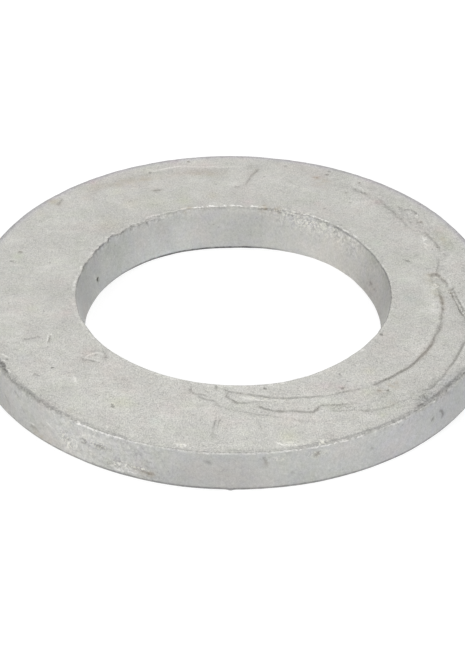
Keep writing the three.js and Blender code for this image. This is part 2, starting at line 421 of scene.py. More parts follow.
# painted highlights along hairlines, each also raised a little: low ridges, the inner sides of creases, small nicks
highlight_lines = [
    [(-.354, .866, .15), (-.307, .889, .3, 0, 1.2), (-.261, .907, .4, 0, 1.4), (-.226, .919, .5, 0, 1.4), (-.178, .917, .3, 0, 1.3),
     (-.137, .915, .3, 0, 1.3), (-.096, .915, .4, 0, 1.3), (-.049, .914, .3, 0, 1.3), (-.002, .920, .25, 0, 1.2), (.039, .926, .1)],
    [(.850, .030, .4), (.851, .010, .6), (.855, -.010, .6), (.862, -.040, .7), (.869, -.066, .7), (.875, -.095, .75), (.884, -.125, .7),
     (.893, -.155, .4), (.903, -.185, .2)],
    [(-.554, -.435, .3), (-.545, -.420, .6), (-.530, -.408, .6), (-.513, -.399, .7), (-.500, -.402, .5), (-.489, -.408, .5)],
    [(-.515, -.449, .7), (-.505, -.4525, 1.1), (-.496, -.452, .7)],
    [(-.701, -.288, .5), (-.700, -.303, .8), (-.701, -.322, .8), (-.704, -.335, .4)], [(-.688, -.281, .6), (-.689, -.297, .7)],
    [(-.595, -.548, .5), (-.591, -.556, .8, 0, 1.3)], [(-.587, -.565, .9, 0, 1.5), (-.583, -.571, .6)], [(-.583, -.581, .7, 0, 1.2), (-.579, -.590, .4)],
    [(-.868, -.412, .6), (-.856, -.420, .8, 0, 1.2), (-.845, -.432, .5)], [(-.862, -.452, .5), (-.853, -.456, .6)],
    [(-.842, -.503, .8, 0, 1.2), (-.831, -.522, .8, 0, 1.2), (-.826, -.528, .4)],
    [(-.206, -.943, .5), (-.201, -.950, .8, 0, 1), (-.193, -.962, .7), (-.187, -.966, .4)], [(-.180, -.955, .6), (-.174, -.958, 1, 0, 1.3), (-.166, -.963, .8)],
    [(-.183, -.975, .6), (-.176, -.980, .6)], [(-.457, -.850, .5), (-.452, -.862, .6)], [(-.562, -.829, .9, 0, 1.6), (-.556, -.834, .8, 0, 1.4)],
    [(.165, -.944, .8), (.173, -.948, 1, 0, 1.3), (.186, -.954, .8)], [(.196, -.951, .6), (.206, -.954, 1, 0, 1.2), (.216, -.951, .6)],
    [(.224, -.946, .8), (.231, -.953, .9)], [(.322, -.925, .6), (.332, -.922, .8)], [(.400, -.921, .7), (.412, -.918, .6)],
    [(.727, .557, .7), (.733, .567, 1, 0, 1.3), (.738, .562, .6)], [(.750, .410, .6), (.756, .396, .8), (.755, .385, .5)],
    [(.764, .402, .7), (.768, .392, .5)], [(.754, .370, .6), (.759, .360, .7), (.767, .350, .6)], [(.757, .338, .6), (.762, .328, .5)],
    [(.770, .059, .6), (.776, .063, .8), (.781, .058, .5)], [(.784, .078, .7), (.789, .073, .6)], [(.786, .056, .6), (.791, .059, .9), (.797, .062, .6)],
    [(.776, .044, .6), (.781, .047, .6)],
    [(.088, -.6845, .5), (.102, -.688, .8), (.120, -.690, .3), (.138, -.6935, .9), (.158, -.692, .4), (.180, -.6965, .8), (.198, -.6955, .4),
     (.214, -.6995, .6)],
    [(.030, -.6685, .5), (.050, -.6735, .7), (.075, -.6815, .5)], [(.150, -.6835, .5), (.168, -.6855, .6), (.186, -.6865, .4)],
]
rim_lines = [
    (3, [(316.8, .085, .5, 0, 1.3), (317.1, .090, .9, 0, 1.6), (317.6, .096, .7, 0, 1.3)]),
    (3, [(319.5, .106, .6, 0, 1.3), (320.0, .101, .9, 0, 1.3), (320.5, .090, .9, 0, 1.5), (320.6, .078, 1, 0, 1.8),
         (320.2, .070, .6, 0, 1.2)]),
    (3, [(264.4, .131, .4, 0, 1.6), (265.0, .127, .65, 0, 1.9), (265.7, .119, .4, 0, 1.6)]),
    (3, [(276.5, .146, .5), (277.0, .134, .7, .4, 1.3), (277.1, .118, .5, .6, 1.4), (277.2, .106, .3, .6, 1.3)]),
    (3, [(277.9, .150, .3), (277.2, .138, .4)]),
    (3, [(288.5, .141, .6, 0, 1.4), (288.1, .137, .9, .3, 1.8), (287.7, .131, .8, .6, 1.7), (287.3, .122, .4, .6, 1.2)]),
    (3, [(281.4, .160, .4, 0, 1.2), (282.0, .155, .5, 0, 1.3)]), (3, [(282.5, .070, .4, .4), (282.8, .064, .4)]),
    (3, [(251.0, .156, .5), (251.3, .148, .5)]),
    (3, [(239.9, .104, .5, 0, 1.4), (240.8, .100, .8, 0, 1.6), (241.8, .101, .9, 0, 1.8), (243.0, .104, .7, 0, 1.5), (244.2, .100, .4, 0, 1.3)]),
    (3, [(240.4, .092, .4), (241.6, .088, .5, 0, 1.2), (243.2, .092, .4)]),
    (3, [(236.6, .103, .5), (237.3, .107, .7), (238.1, .103, .9, 0, 1.3), (238.0, .094, .9, 0, 1.4), (237.3, .090, .8, 0, 1.2), (236.7, .095, .5)]),
    (3, [(233.6, .110, .3), (232.6, .103, .5), (232.2, .092, .5), (232.6, .080, .6), (233.8, .074, .6), (235.0, .077, .4)]),
    (3, [(222.9, .045, .6), (223.6, .040, .7)]),
    (3, [(249.0, .050, .4), (250.4, .048, .6), (251.2, .046, .7, .3), (252.3, .043, .8, .5), (253.0, .042, .9, .7, 1.1), (253.8, .044, .6, .7)]),
    (3, [(243.5, .040, .4), (245.2, .044, .6), (247.0, .043, .6), (248.5, .050, .5), (249.8, .056, .5), (251.0, .060, .4)]),
    (3, [(244.8, .062, .4), (246.3, .066, .5), (247.4, .060, .5), (248.2, .066, .3)]),
    (3, [(227.0, .085, .2), (228.4, .078, .28, 0, 1.2), (229.6, .070, .2)]),
    (3, [(234.2, .060, .5), (233.8, .050, .5), (234.3, .038, .5)]),
    (3, [(300.2, .098, .5), (300.4, .092, .5)]),
    (3, [(212.2, .090, .25), (213.2, .079, .42, 0, 1.1), (214.4, .064, .38, 0, 1.1), (215.3, .055, .25)]),
    (3, [(216.8, .136, .35), (217.9, .131, .42), (218.8, .127, .3)]),
    (3, [(222.4, .035, .4), (223.4, .041, .6, 0, 1.2), (224.4, .043, .5, 0, 1.1), (225.0, .040, .35)]),
    (3, [(219.6, .088, .35), (220.3, .080, .35)]), (3, [(225.9, .083, .4, .3), (226.6, .077, .4, .3)]),
    # the sides that face away from the front
    (3, [(20, .10, .7, 0, 1.4), (20.8, .094, .8, 0, 1.6)]),
    (3, [(47, .060, .5), (48.5, .064, .6), (50, .060, .4)]),
    (3, [(83, .130, .5), (83.3, .118, .8), (83.2, .105, .5)]),
    (3, [(112, .045, .6, .8, 1.5), (113, .042, .7, .8, 1.4)]),
    (3, [(139, .115, .4), (141, .112, .6), (143, .116, .5), (145, .111, .4)]),
    (3, [(166, .085, .7, 0, 1.5), (166.6, .078, .9, 0, 1.7)]),
    (3, [(186, .130, .5), (186.4, .118, .6)]),
]
bore_lines = [
    (3, [(156.1, .072, 1.6, 0, .9), (156.5, .067, 2.6, 0, 1.2), (156.6, .062, 1.6, 0, .9)]),
    (3, [(22.0, .070, .6, 0, 1.3), (23.0, .066, .7, 0, 1.4)]),
    (3, [(18.6, .066, .5), (19.4, .062, .5)]),
    (3, [(205, .10, .6, 0, 1.4), (206, .094, .7, 0, 1.5)]),
    (3, [(233, .05, .5), (236, .055, .6), (239, .05, .4)]),
    (3, [(272, .12, .6), (272.6, .105, .7)]),
    (3, [(301, .06, .7, .6, 1.5), (302, .055, .7, .6, 1.4)]),
    (3, [(334, .11, .4), (337, .106, .6), (340, .11, .4)]),
]
# short upright tears under the mouth, at the left of the back, with painted shade in them: angle, top, bottom, how dark
for deg, top_, low_, k in ((110.5, .160, .152, .25), (112.8, .160, .149, .3), (115.2, .158, .150, .3), (117.6, .159, .148, .4),
                           (119.3, .162, .152, .5), (121.0, .164, .149, .55), (122.6, .165, .156, .5), (124.5, .167, .150, .6),
                           (126.0, .167, .158, .5), (127.9, .168, .154, .5), (130.2, .168, .157, .45), (132.1, .168, .151, .5),
                           (134.6, .168, .158, .4), (137.2, .168, .155, .45), (140.1, .168, .158, .4), (143.5, .168, .156, .35),
                           (147.0, .168, .160, .3)):
    k *= 1.6
    bore_lines.append((3, [(deg, top_, k), (deg - .25, (top_ + low_) / 2, k * .8), (deg + .15, low_, k * .3)]))
# and where such tears nick the face beside the mouth: angle, how far out, how dark
mouth_nicks = [(108.6, .618, .35), (111.0, .620, .4), (113.1, .618, .35), (115.4, .621, .5), (117.5, .618, .45), (119.2, .620, .6),
               (120.8, .617, .5), (122.9, .619, .6), (124.6, .616, .5), (126.2, .619, .6), (128.1, .616, .5), (130.4, .618, .5),
               (132.3, .615, .45), (134.4, .617, .4), (137.4, .615, .4), (140.2, .616, .35)]
# curls and flakes of zinc on the front left of the rim's wall, raised a little and painted with highlights: angle,
# height
rim_curl_highlights = [
    [(234.7, .076, .4), (234.0, .069, .7), (233.6, .053, .8), (233.7, .040, .7), (234.2, .036, .4)],
    [(236.0, .102, .3), (237.3, .121, .5), (238.5, .132, .5), (239.6, .137, .5), (240.6, .134, .3)],
    [(234.7, .085, .4), (235.8, .086, .5), (236.0, .065, .4), (235.4, .047, .4)],
    [(244.3, .036, .4), (245.4, .047, .8), (246.4, .055, .9), (246.9, .053, .5)],
    [(247.9, .068, .5), (247.7, .054, .8), (247.3, .042, .4)],
    [(245.4, .027, .5), (246.6, .027, .9), (247.7, .030, .5), (249.2, .031, .7), (250.2, .032, .4)],
    [(246.8, .043, .5), (247.9, .044, .7), (248.8, .049, .4)],
    [(222.4, .052, .4), (223.6, .056, .5)], [(227.8, .100, .4), (228.8, .093, .4)],
]
fields = [Field() for _ in range(5)]
for deg, out_, k in mouth_nicks:
    a, b, k = math.radians(deg), math.radians(deg + .5), k * 1.5
    fields[3].add(on_top, X, Y, [(.600 * math.cos(a), .600 * math.sin(a), k), (.608 * math.cos(a), .608 * math.sin(a), k),
                                 (out_ * math.cos(b), out_ * math.sin(b), k * .4)], U, U)
for pts in rim_curl_highlights:
    fields[4].add(on("rim", "rim_roll"), rim_arc * ARC_RIM, Z, pts, ARC_RIM, U)
for pts in highlight_lines:
    fields[4].add(on_top, X, Y, pts, U, U)
for g, pts in face_lines:
    fields[g].add(on_top, X, Y, pts, U, U)
for g, pts in rim_lines:
    fields[g].add(on("rim", "rim_roll"), rim_arc * ARC_RIM, Z, soft(pts, 1.5), ARC_RIM, U)
for g, pts in bore_lines:
    fields[g].add(on("bore", "bore_roll"), (np.degrees(TH) % 360) * ARC_BORE, Z, soft(pts, 1.6), ARC_BORE, U)

# round pits and specks on the upper face: x, y in rim radii, radius in mm, how dark, how brown
pits = [(.120, -.613, .14, .7, 0), (.408, -.604, .18, .8, .3), (.400, -.520, .12, .5, 0), (-.672, -.495, .16, .9, 0),
        (-.440, -.722, .16, .6, 0), (-.437, -.733, .18, .7, 0), (-.843, .275, .18, .6, .3), (-.870, .210, .18, .7, 0),
        (-.720, .203, .14, .5, 0), (.455, .730, .14, .6, .2), (.470, .655, .14, .5, 0), (.365, .610, .14, .6, 0),
        (.325, .847, .14, .25, .3), (.340, .842, .16, .3, .35), (.380, .866, .16, .6, 0), (.390, .890, .16, .5, 0),
        (-.347, .868, .18, .6, 0), (.680, .240, .15, .6, 0), (.690, .236, .15, .6, 0), (-.697, -.360, .12, .5, 0),
        (-.735, -.540, .15, .4, 0), (-.722, -.548, .14, .4, 0), (-.467, -.643, .12, .5, 0), (-.455, -.645, .12, .4, 0),
        (.245, -.806, .14, .5, 0), (.010, -.855, .12, .4, 0), (.545, -.620, .16, .4, .5), (.575, -.618, .15, .6, .2), (-.190, .955, .14, .6, .4), (.210, .930, .14, .5, 0),
        (.255, .667, .12, .4, 0), (.510, .805, .14, .6, .2), (.785, .325, .13, .5, 0), (-.325, -.968, .16, .8, 0),
        (-.480, -.590, .12, .35, 0), (.750, .518, .14, .45, .3), (-.475, -.425, .13, .3, 0), (-.862, -.470, .20, .7, 0), (-.852, -.512, .24, .9, 0),
        (-.846, -.528, .20, .8, 0), (-.838, -.506, .16, .5, 0), (-.846, -.447, .16, .5, 0), (-.856, -.49, .18, .7, 0), (.5635, -.2605, .14, .8, 0)]
pit_d = np.full((NA, NP), 9.0)
pit_k = np.zeros((NA, NP))
pit_b = np.zeros((NA, NP))
for px, py, pr, pk, pb in pits:
    d = np.hypot(X - px * U, Y - py * U) / pr
    d = np.where(on_top, d, 9.0)
    better = d < pit_d
    pit_d = np.where(better, d, pit_d)
    pit_k = np.where(better, pk, pit_k)
    pit_b = np.where(better, pb, pit_b)

# ---- relief -----------------------------------------------------------------
relief = 0.014 * fractal(P, 6.0, 2, shift=1.1) + 0.009 * fractal(P, 1.7, 2, shift=5.2) + 0.005 * fractal(P, .6, 1, shift=9.4)
wall = on("rim", "bore", "rim_roll", "bore_roll")
# the sheared walls are drawn across their thickness, so their unevenness is upright
Q = P.copy()
Q[..., 2] *= 0.25
relief += np.where(on("rim", "bore"), 0.014 * fractal(Q, 1.3, 2, shift=3.3), 0)

relief += 0.018 * fields[4].s * np.exp(-(fields[4].d / (0.13 * fields[4].w)) ** 2)
for f, height, width in zip(fields, (0.055, 0.045, 0.040, 0.0), (0.16, 0.15, 0.14, 0.14)):
    d, s = f.d, f.s * (1 - smooth(REACH * 0.6, REACH, np.abs(f.d)))
    bead = smooth(-0.02, width, d) * np.exp(-np.maximum(d - width, 0) / 0.55)
    relief += height * s * bead                                  # the zinc piled up along the line
    relief -= 0.030 * s * np.exp(-(d / (0.10 * f.w)) ** 2)       # and the crease itself
relief -= 0.06 * pit_k * (1 - smooth(0.5, 1.35, pit_d))

# torn, blunted places along the two upper edges
rim_torn = np.clip(band(TH, 200, 236, 8) + band(TH, 300, 334, 8) * 0.8 + 0.15, 0, 1)
mouth_torn = np.clip(band(TH, 40, 82, 8) + band(TH, 104, 130, 8) * 0.8 + band(TH, 138, 168, 6) * .5 + 0.15, 0, 1)
edge_r = np.hypot(X, Y)
near_rim = np.exp(-np.maximum(ro_u[:, None] - edge_r, 0) / 0.45) * np.exp(-np.maximum(FACE - Z, 0) / 0.35)
near_mouth = np.exp(-np.maximum(edge_r - rb_u[:, None], 0) / 0.45) * np.exp(-np.maximum(FACE - Z, 0) / 0.35)
near_rim = np.where(on("top", "rim_edge", "rim"), near_rim, 0)
near_mouth = np.where(on("top", "mouth_edge", "bore"), near_mouth, 0)
tear = fractal(P, 0.75, 2, shift=12.0)
relief -= 0.10 * near_rim * rim_torn * np.clip(tear + 0.15, 0, 1)
relief -= 0.10 * near_mouth * mouth_torn * np.clip(tear + 0.15, 0, 1)
# a low lip of zinc just inside the rim, where it ran to the edge and set
lip = np.exp(-((edge_r - (ro_u - rim_round)[:, None] + 0.06) / 0.16) ** 2) * (FACE - Z < 0.4)
lip_k = by_angle(theta, [(0, .35), (45, .3), (100, .6), (150, .3), (200, .2), (238, .9), (262, 1), (285, .8), (300, .4), (340, .2)])
relief += np.where(on("top", "rim_edge"), 0.030 * lip * lip_k[:, None] * (0.7 + 0.5 * round_noise(theta, 1.6, 22, 20.)[:, None]), 0)

drop = np.exp(-((((np.degrees(TH) % 360) - 269.8) * math.radians(1) * 22 / 0.22) ** 2) - (np.maximum(P[..., 2] - 0.22, 0) / 0.22) ** 2)
relief += np.where(on("rim", "rim_roll"), 0.085 * drop, 0)
relief = np.where(on("bottom"), np.minimum(relief, 0.0) - 0.004, relief)
P = P + N * relief[..., None]
P[..., 2] = np.clip(P[..., 2], 0.0, THICK)
r = np.hypot(P[..., 0], P[..., 1])
P[..., :2] *= np.minimum(1.0, (RIM_LOW - 0.0005 + 0.05 * drop) / r)[..., None]

# ---- the mesh ---------------------------------------------------------------
mesh = bpy.data.meshes.new("galvanised_ring")
i = np.arange(NA)[:, None]
j = np.arange(NP)[None]
a = i * NP + j
b = ((i + 1) % NA) * NP + j
c = ((i + 1) % NA) * NP + (j + 1) % NP
d = i * NP + (j + 1) % NP
quads = np.stack([a, b, c, d], -1).reshape(-1, 4)
mesh.vertices.add(NA * NP)
mesh.vertices.foreach_set("co", (P.reshape(-1, 3) / 1000.0).astype(np.float32).ravel())
mesh.loops.add(quads.size)
mesh.loops.foreach_set("vertex_index", quads.astype(np.int32).ravel())
mesh.polygons.add(len(quads))
mesh.polygons.foreach_set("loop_start", np.arange(0, quads.size, 4, dtype=np.int32))
mesh.update(calc_edges=True)
mesh.polygons.foreach_set("use_smooth", np.ones(len(quads), bool))
mesh.validate()


def put(name, values):
    layer = mesh.attributes.new(name, "FLOAT", "POINT")
    layer.data.foreach_set("value", values.astype(np.float32).ravel())


def put3(name, x, y, z):
    layer = mesh.attributes.new(name, "FLOAT_VECTOR", "POINT")
    layer.data.foreach_set("vector", np.stack([x, y, z], -1).astype(np.float32).ravel())


for k, f in enumerate(fields):
    fade = 1 - smooth(REACH * 0.5, REACH * 0.95, np.abs(f.d))
    put3(f"line{k}", f.d / f.w, f.s * fade, f.b)
put3("pit", pit_d.clip(0, 4), pit_k, pit_b)

# slow colour: painted shade along both upper edges and painted highlights on the beads beside them, then stains, and
# darker and paler places on the face, partly painted shade and light
rim_shade = by_angle(theta, [(0, .35), (30, .35), (60, .45), (90, .45), (120, .45), (150, .40), (185, .35), (203, .6), (208, 1.1),
                            (211, 1.0), (213.5, .6), (218, .65), (221, 1.1), (224, .55), (227, .7), (229, 1.0), (232, .8), (235, .6), (240, .55), (245, .75), (249, .5), (253, .2),
                            (262, .3), (268, .55), (272, .65), (276, .5), (280, .5), (284, .8), (294, .8), (300, .85), (306, .8),
                              (312, .8), (314.5, .95), (317, .8), (319, .8), (321.5, .95), (324, .85), (327, .95), (331, .8), (340, .45)])
mouth_shade = by_angle(theta, [(0, .8), (8, .95), (16, .9), (22, .6), (28, .6), (36, .5), (41, .4), (45, .7), (49, .75), (53, .6),
                              (57, .4), (63, .15), (68, .15), (74, .8), (79, 1.0), (83, .5), (88, .5), (96, .55), (101, .3), (105, .0),
                              (114, .0), (119, .1), (124, .3), (131, .35), (136, .9), (139, .6), (143, .9), (147, .9), (150, 1.1),
                              (154, .7), (158, .55), (164, .75), (168, .5), (172, .7), (180, .5), (210, .25), (270, .25), (330, .35),
                              (347, .7)])
rim_highlight = by_angle(theta, [(0, .1), (60, .2), (120, .2), (180, .1), (222, .1), (229, .1), (233, .25), (235.5, .3), (236.2, .8), (237, .5), (239, .75), (243, .7),
                              (246, .55), (250, .3), (257, .35), (262, .4), (270, .5), (276, .4), (284, .55), (289, .75), (297, .75),
                              (302, .35), (307, .7), (311, .2), (318, .3), (325, .1)])
mouth_highlight = by_angle(theta, [(0, .2), (20, .35), (35, .4), (50, .5), (62, .6), (72, .35), (77, .3), (81, .6), (83, .85), (86, .4), (88, .8),
                                (90.5, .75), (91.5, .35), (94, .8), (96, .4), (98, .7), (101, .85), (104, .75), (107, .2),
                                (116, .15), (122, .4), (130, .4), (150, .3), (170, .4), (185, .3), (270, .3)])
rim_wide = by_angle(theta, [(0, 1), (190, 1), (204, 1.4), (212, 1.4), (217, 1.1), (228, 1.1), (236, 1.0), (250, .9), (262, .95), (275, 1.0), (290, 1.05),
                            (304, 1.05), (312, 1.1), (318, 1.2), (328, 1.4), (337, 1.25), (345, 1.1)])
put3("rim_shading_line", from_rim / rim_wide[:, None], np.repeat(rim_shade[:, None], NP, 1), np.repeat(rim_highlight[:, None], NP, 1))
put3("mouth_shading_line", from_mouth, np.repeat(mouth_shade[:, None], NP, 1), np.repeat(mouth_highlight[:, None], NP, 1))


def patch(x, y, radius, strength, squash=1.0, turn=0.0):
    dx, dy = X - x * U, Y - y * U
    ca, sa = math.cos(math.radians(turn)), math.sin(math.radians(turn))
    u, v = dx * ca + dy * sa, (-dx * sa + dy * ca) * squash
    return strength * np.exp(-(u * u + v * v) / (radius * radius)) * on_top


def wall_patch(which, deg, z, wide, high, strength):
    """A soft spot on a wall: degrees and height in mm, half widths in mm."""
    arc, radius = (rim_arc, ARC_RIM) if which == "rim" else (np.degrees(TH) % 360, ARC_BORE)
    return strength * np.exp(-((arc - deg) * radius / wide) ** 2 - ((Z - z) / high) ** 2) * on(which)


def smear(points, width, strength):
    """A soft band along a line on the upper face; the points carry x, y and how strong it is there."""
    line = spline([(q[0] * U, q[1] * U, q[2]) for q in points], 0.25)
    best = np.zeros((NA, NP))
    near = on_top & (X > line[:, 0].min() - 3 * width) & (X < line[:, 0].max() + 3 * width) \
        & (Y > line[:, 1].min() - 3 * width) & (Y < line[:, 1].max() + 3 * width)
    idx = np.flatnonzero(near.ravel())
    a, b = X.ravel()[idx], Y.ravel()[idx]
    for c in range(0, len(idx), 8000):
        sl = slice(c, c + 8000)
        q = np.exp(-((a[sl, None] - line[None, :, 0]) ** 2 + (b[sl, None] - line[None, :, 1]) ** 2) / width ** 2) * line[None, :, 2]
        best.ravel()[idx[sl]] = q.max(1)
    return strength * best


stain = (smear([(.762, .140, .6), (.771, .10, 1), (.782, .055, 1), (.789, .012, .7), (.795, -.02, .4)], .38, .42) + patch(.60, -.58, .5, .6) + patch(-.12, .862, 1.4, .22, 3.5, -5)
         + patch(-.36, .82, .7, .4) + patch(-.45, .79, .9, .35, 1.5, 25) + patch(.36, .81, .7, .35) + patch(-.73, .64, .6, .30)
         + patch(.125, .60, .35, .9) + patch(.83, .40, 1.2, .3, 2, 75) + patch(-.59, -.78, .8, .15) + patch(.57, -.70, .7, .3, 1.5)
         + patch(-.19, .60, .5, .5, 2) + patch(.805, -.04, .2, .2, .3) + patch(.34, .845, .35, .5, 2.5))
stain = stain + np.where(on_rim, 0.3 * np.exp(-(((rim_arc - 252.5) * ARC_RIM / 0.7) ** 2 + ((Z - 1.0) / .4) ** 2))
                         + 0.35 * np.exp(-(((rim_arc - 226) * ARC_RIM / 1.5) ** 2 + ((Z - .5) / .5) ** 2)), 0)
stain = stain + near_mouth * by_angle(theta, [(0, 0), (71.5, 0), (74, .7), (76.5, .3), (79, .8), (81.5, 0), (104, 0), (107, .5), (110, 0)])[:, None]
put("stain", np.clip(stain, 0, 1))

# darker and paler places on the face: partly random tone, partly painted shade and painted light along the creases and
# the front of the rim, and a painted highlight on one spot in the hole
tone_and_shade = (smear([(.435, .80, .5), (.50, .74, .8), (.58, .68, .7), (.65, .58, .9), (.705, .50, .7), (.78, .42, .4), (.83, .34, .3)], .8, -.30)
        + smear([(.50, .74, .4), (.60, .66, .8), (.648, .600, 1), (.683, .556, 1), (.715, .512, .8), (.745, .47, .3)], .55, -.45)
        + smear([(.775, .15, .6), (.785, .08, 1), (.793, .0, .7), (.80, -.06, .3)], .45, -.40)
        + smear([(.845, .03, .6), (.855, -.04, 1), (.87, -.10, .8), (.885, -.18, .5)], .5, -.5)
        + smear([(.85, -.47, .5), (.80, -.56, 1), (.745, -.63, 1), (.69, -.69, .8), (.63, -.74, .4)], .75, -.62)
        + smear([(.765, .12, .5), (.765, .03, 1), (.775, -.06, 1), (.765, -.15, .6), (.745, -.25, .5), (.70, -.36, .5), (.64, -.46, .4)], .55, .28)
        + patch(-.15, .885, 3.4, -.35, 4.5, 5) + patch(-.45, .80, 2.0, -.35, 2.5, 33) + patch(.07, .92, .8, -.5, 1.6)
        + patch(.44, .78, 1.2, -.4, 2.2, -35) + patch(.545, -.635, .8, -.5, 1) + patch(.71, -.655, .8, -.9, 1.4, 40)
        + patch(-.87, -.47, .9, -.8, 1.2, -70) + patch(-.80, -.585, 1.3, -.55, 3.5, -50) + patch(-.70, -.70, 1.2, -.35, 4, -45)
        + patch(.06, -.672, .6, .6, 2.2) + patch(.16, -.683, .7, .4, 4) + patch(.20, -.948, .8, .35, 2.6, 5)
        + patch(-.18, -.957, .5, .4, 1.5) + patch(-.517, -.437, .3, .8) + patch(-.585, -.575, .4, .6, 2, -70)
        + patch(-.44, -.748, .22, .8) + patch(-.737, .168, .25, .6) + patch(.20, -.86, 4.5, .25, 2.5, 10)
        + patch(-.50, -.70, 5.0, .20, 1.6, -50) + patch(.865, -.06, .25, .8, .25) + patch(.77, -.08, .35, .5, .3)
        + smear([(-.788, .112, .4), (-.751, .153, .9), (-.720, .183, .6), (-.689, .219, 1), (-.652, .249, .5)], .35, .30)
        + smear([(-.70, .13, .4), (-.66, .17, .7), (-.62, .20, .4)], .25, .22) + patch(-.35, .885, .5, .35) + patch(-.10, .935, 2.6, .30, 4) + patch(-.05, .63, 1.3, .45, 4))
tone_and_shade = tone_and_shade + np.where(on("bore"), 0.9 * np.exp(-((((np.degrees(TH) % 360) - 158.1) * ARC_BORE / .20) ** 2
                                                 + ((Z - 1.80) / .20) ** 2)), 0)
put("tone_and_shade", np.clip(tone_and_shade, -1, 1))


# slow changes of colour, as parts of 100 of red, green and blue: hue and stains, with painted light and shade on the
# walls and round the hole's edge
tint_and_shading = np.zeros((NA, NP, 3))
up_share = smooth(0.3, 3.2, Z)


def wall_light_and_shade(where, low_pairs, up_pairs):
    low, up = by_angle(theta, low_pairs)[:, None], by_angle(theta, up_pairs)[:, None]
    tint_and_shading[...] += np.where(where, low * (1 - up_share) + up * up_share, 0)[..., None]


def cooler(where, amount):
    tint_and_shading[..., 0] += np.where(where, -0.6 * amount, 0)
    tint_and_shading[..., 2] += np.where(where, 0.6 * amount, 0)


# painted light and shade round both walls, lighter or darker by the way each part faces
wall_light_and_shade(on("bore", "bore_roll"),
          [(7, -25), (22, -18), (37, 1), (52, 8), (67, -3), (82, -9), (97, -6), (112, 3), (127, 9), (142, 0), (157, -4), (172, -19),
           (190, -8), (230, 0), (320, 0), (350, -12)],
          [(7, -18), (22, -6), (37, 12), (52, 8), (67, -7), (82, -5), (97, -7), (112, 0), (127, 6), (142, -1), (157, -2), (172, -12),
           (190, -6), (230, 0), (320, 0), (350, -10)])
wall_light_and_shade(on("rim", "rim_roll"),
          [(0, 0), (190, -8), (207, -16), (222, -3), (237, 8), (252, -12), (267, -13), (282, -6), (297, 2), (312, 0), (327, -8), (345, -5)],
          [(0, 0), (190, -6), (207, -11), (222, 1), (237, 7), (252, -5), (267, -8), (282, -2), (297, 8), (312, 1), (327, -7), (345, -4)])
cooler(on("rim", "rim_roll"),
       by_angle(theta, [(20, 2), (100, 2), (170, 1), (205, 0), (250, 0), (262, 1), (280, 1.5), (290, 2), (300, 3), (312, 4), (325, 4),
                        (345, 3)])[:, None])
tint_and_shading[..., 1] += np.where(on("rim", "rim_roll"), by_angle(theta, [(190, 0), (295, 0), (308, -1.8), (328, -1.2), (350, 0)])[:, None], 0)
cooler(on("bore", "bore_roll"),
       by_angle(theta, [(0, -1), (20, -2), (50, -3), (60, -1), (75, 0), (90, 0), (105, 1), (120, 2.5), (135, 3), (150, 2.5), (165, 2),
                        (180, 1.5), (200, 0), (320, 1)])[:, None]
       + by_angle(theta, [(60, 0), (80, 2), (100, 3), (110, 4), (130, 3), (150, 1.5), (170, 0)])[:, None] * np.exp(-(Z / 0.6) ** 2))
# the rounded outer edge at the far side is painted darker and bluer than the face
far = by_angle(theta, [(0, .5), (22, 1), (160, 1), (180, .6), (198, 0), (345, 0)])[:, None]
inwards = np.maximum(from_rim, 0)
edge_hue = far * (1 - smooth(0.15, 0.85, inwards))
tint_and_shading += np.where(on("top", "rim_edge")[..., None], edge_hue[..., None] * np.array([-2.2, -3.2, 3.4]), 0)
tint_and_shading += np.where(on("top", "rim_edge"), by_angle(theta, [(5, 0), (20, -4), (40, -2), (60, 0), (80, 0), (200, 0)])[:, None]
                 * (1 - smooth(.3, .95, inwards)), 0)[..., None]
tint_and_shading += (np.where(on("top", "rim_edge"), -13.0 * far * (1 - smooth(0.16, 0.46, inwards)), 0))[..., None]

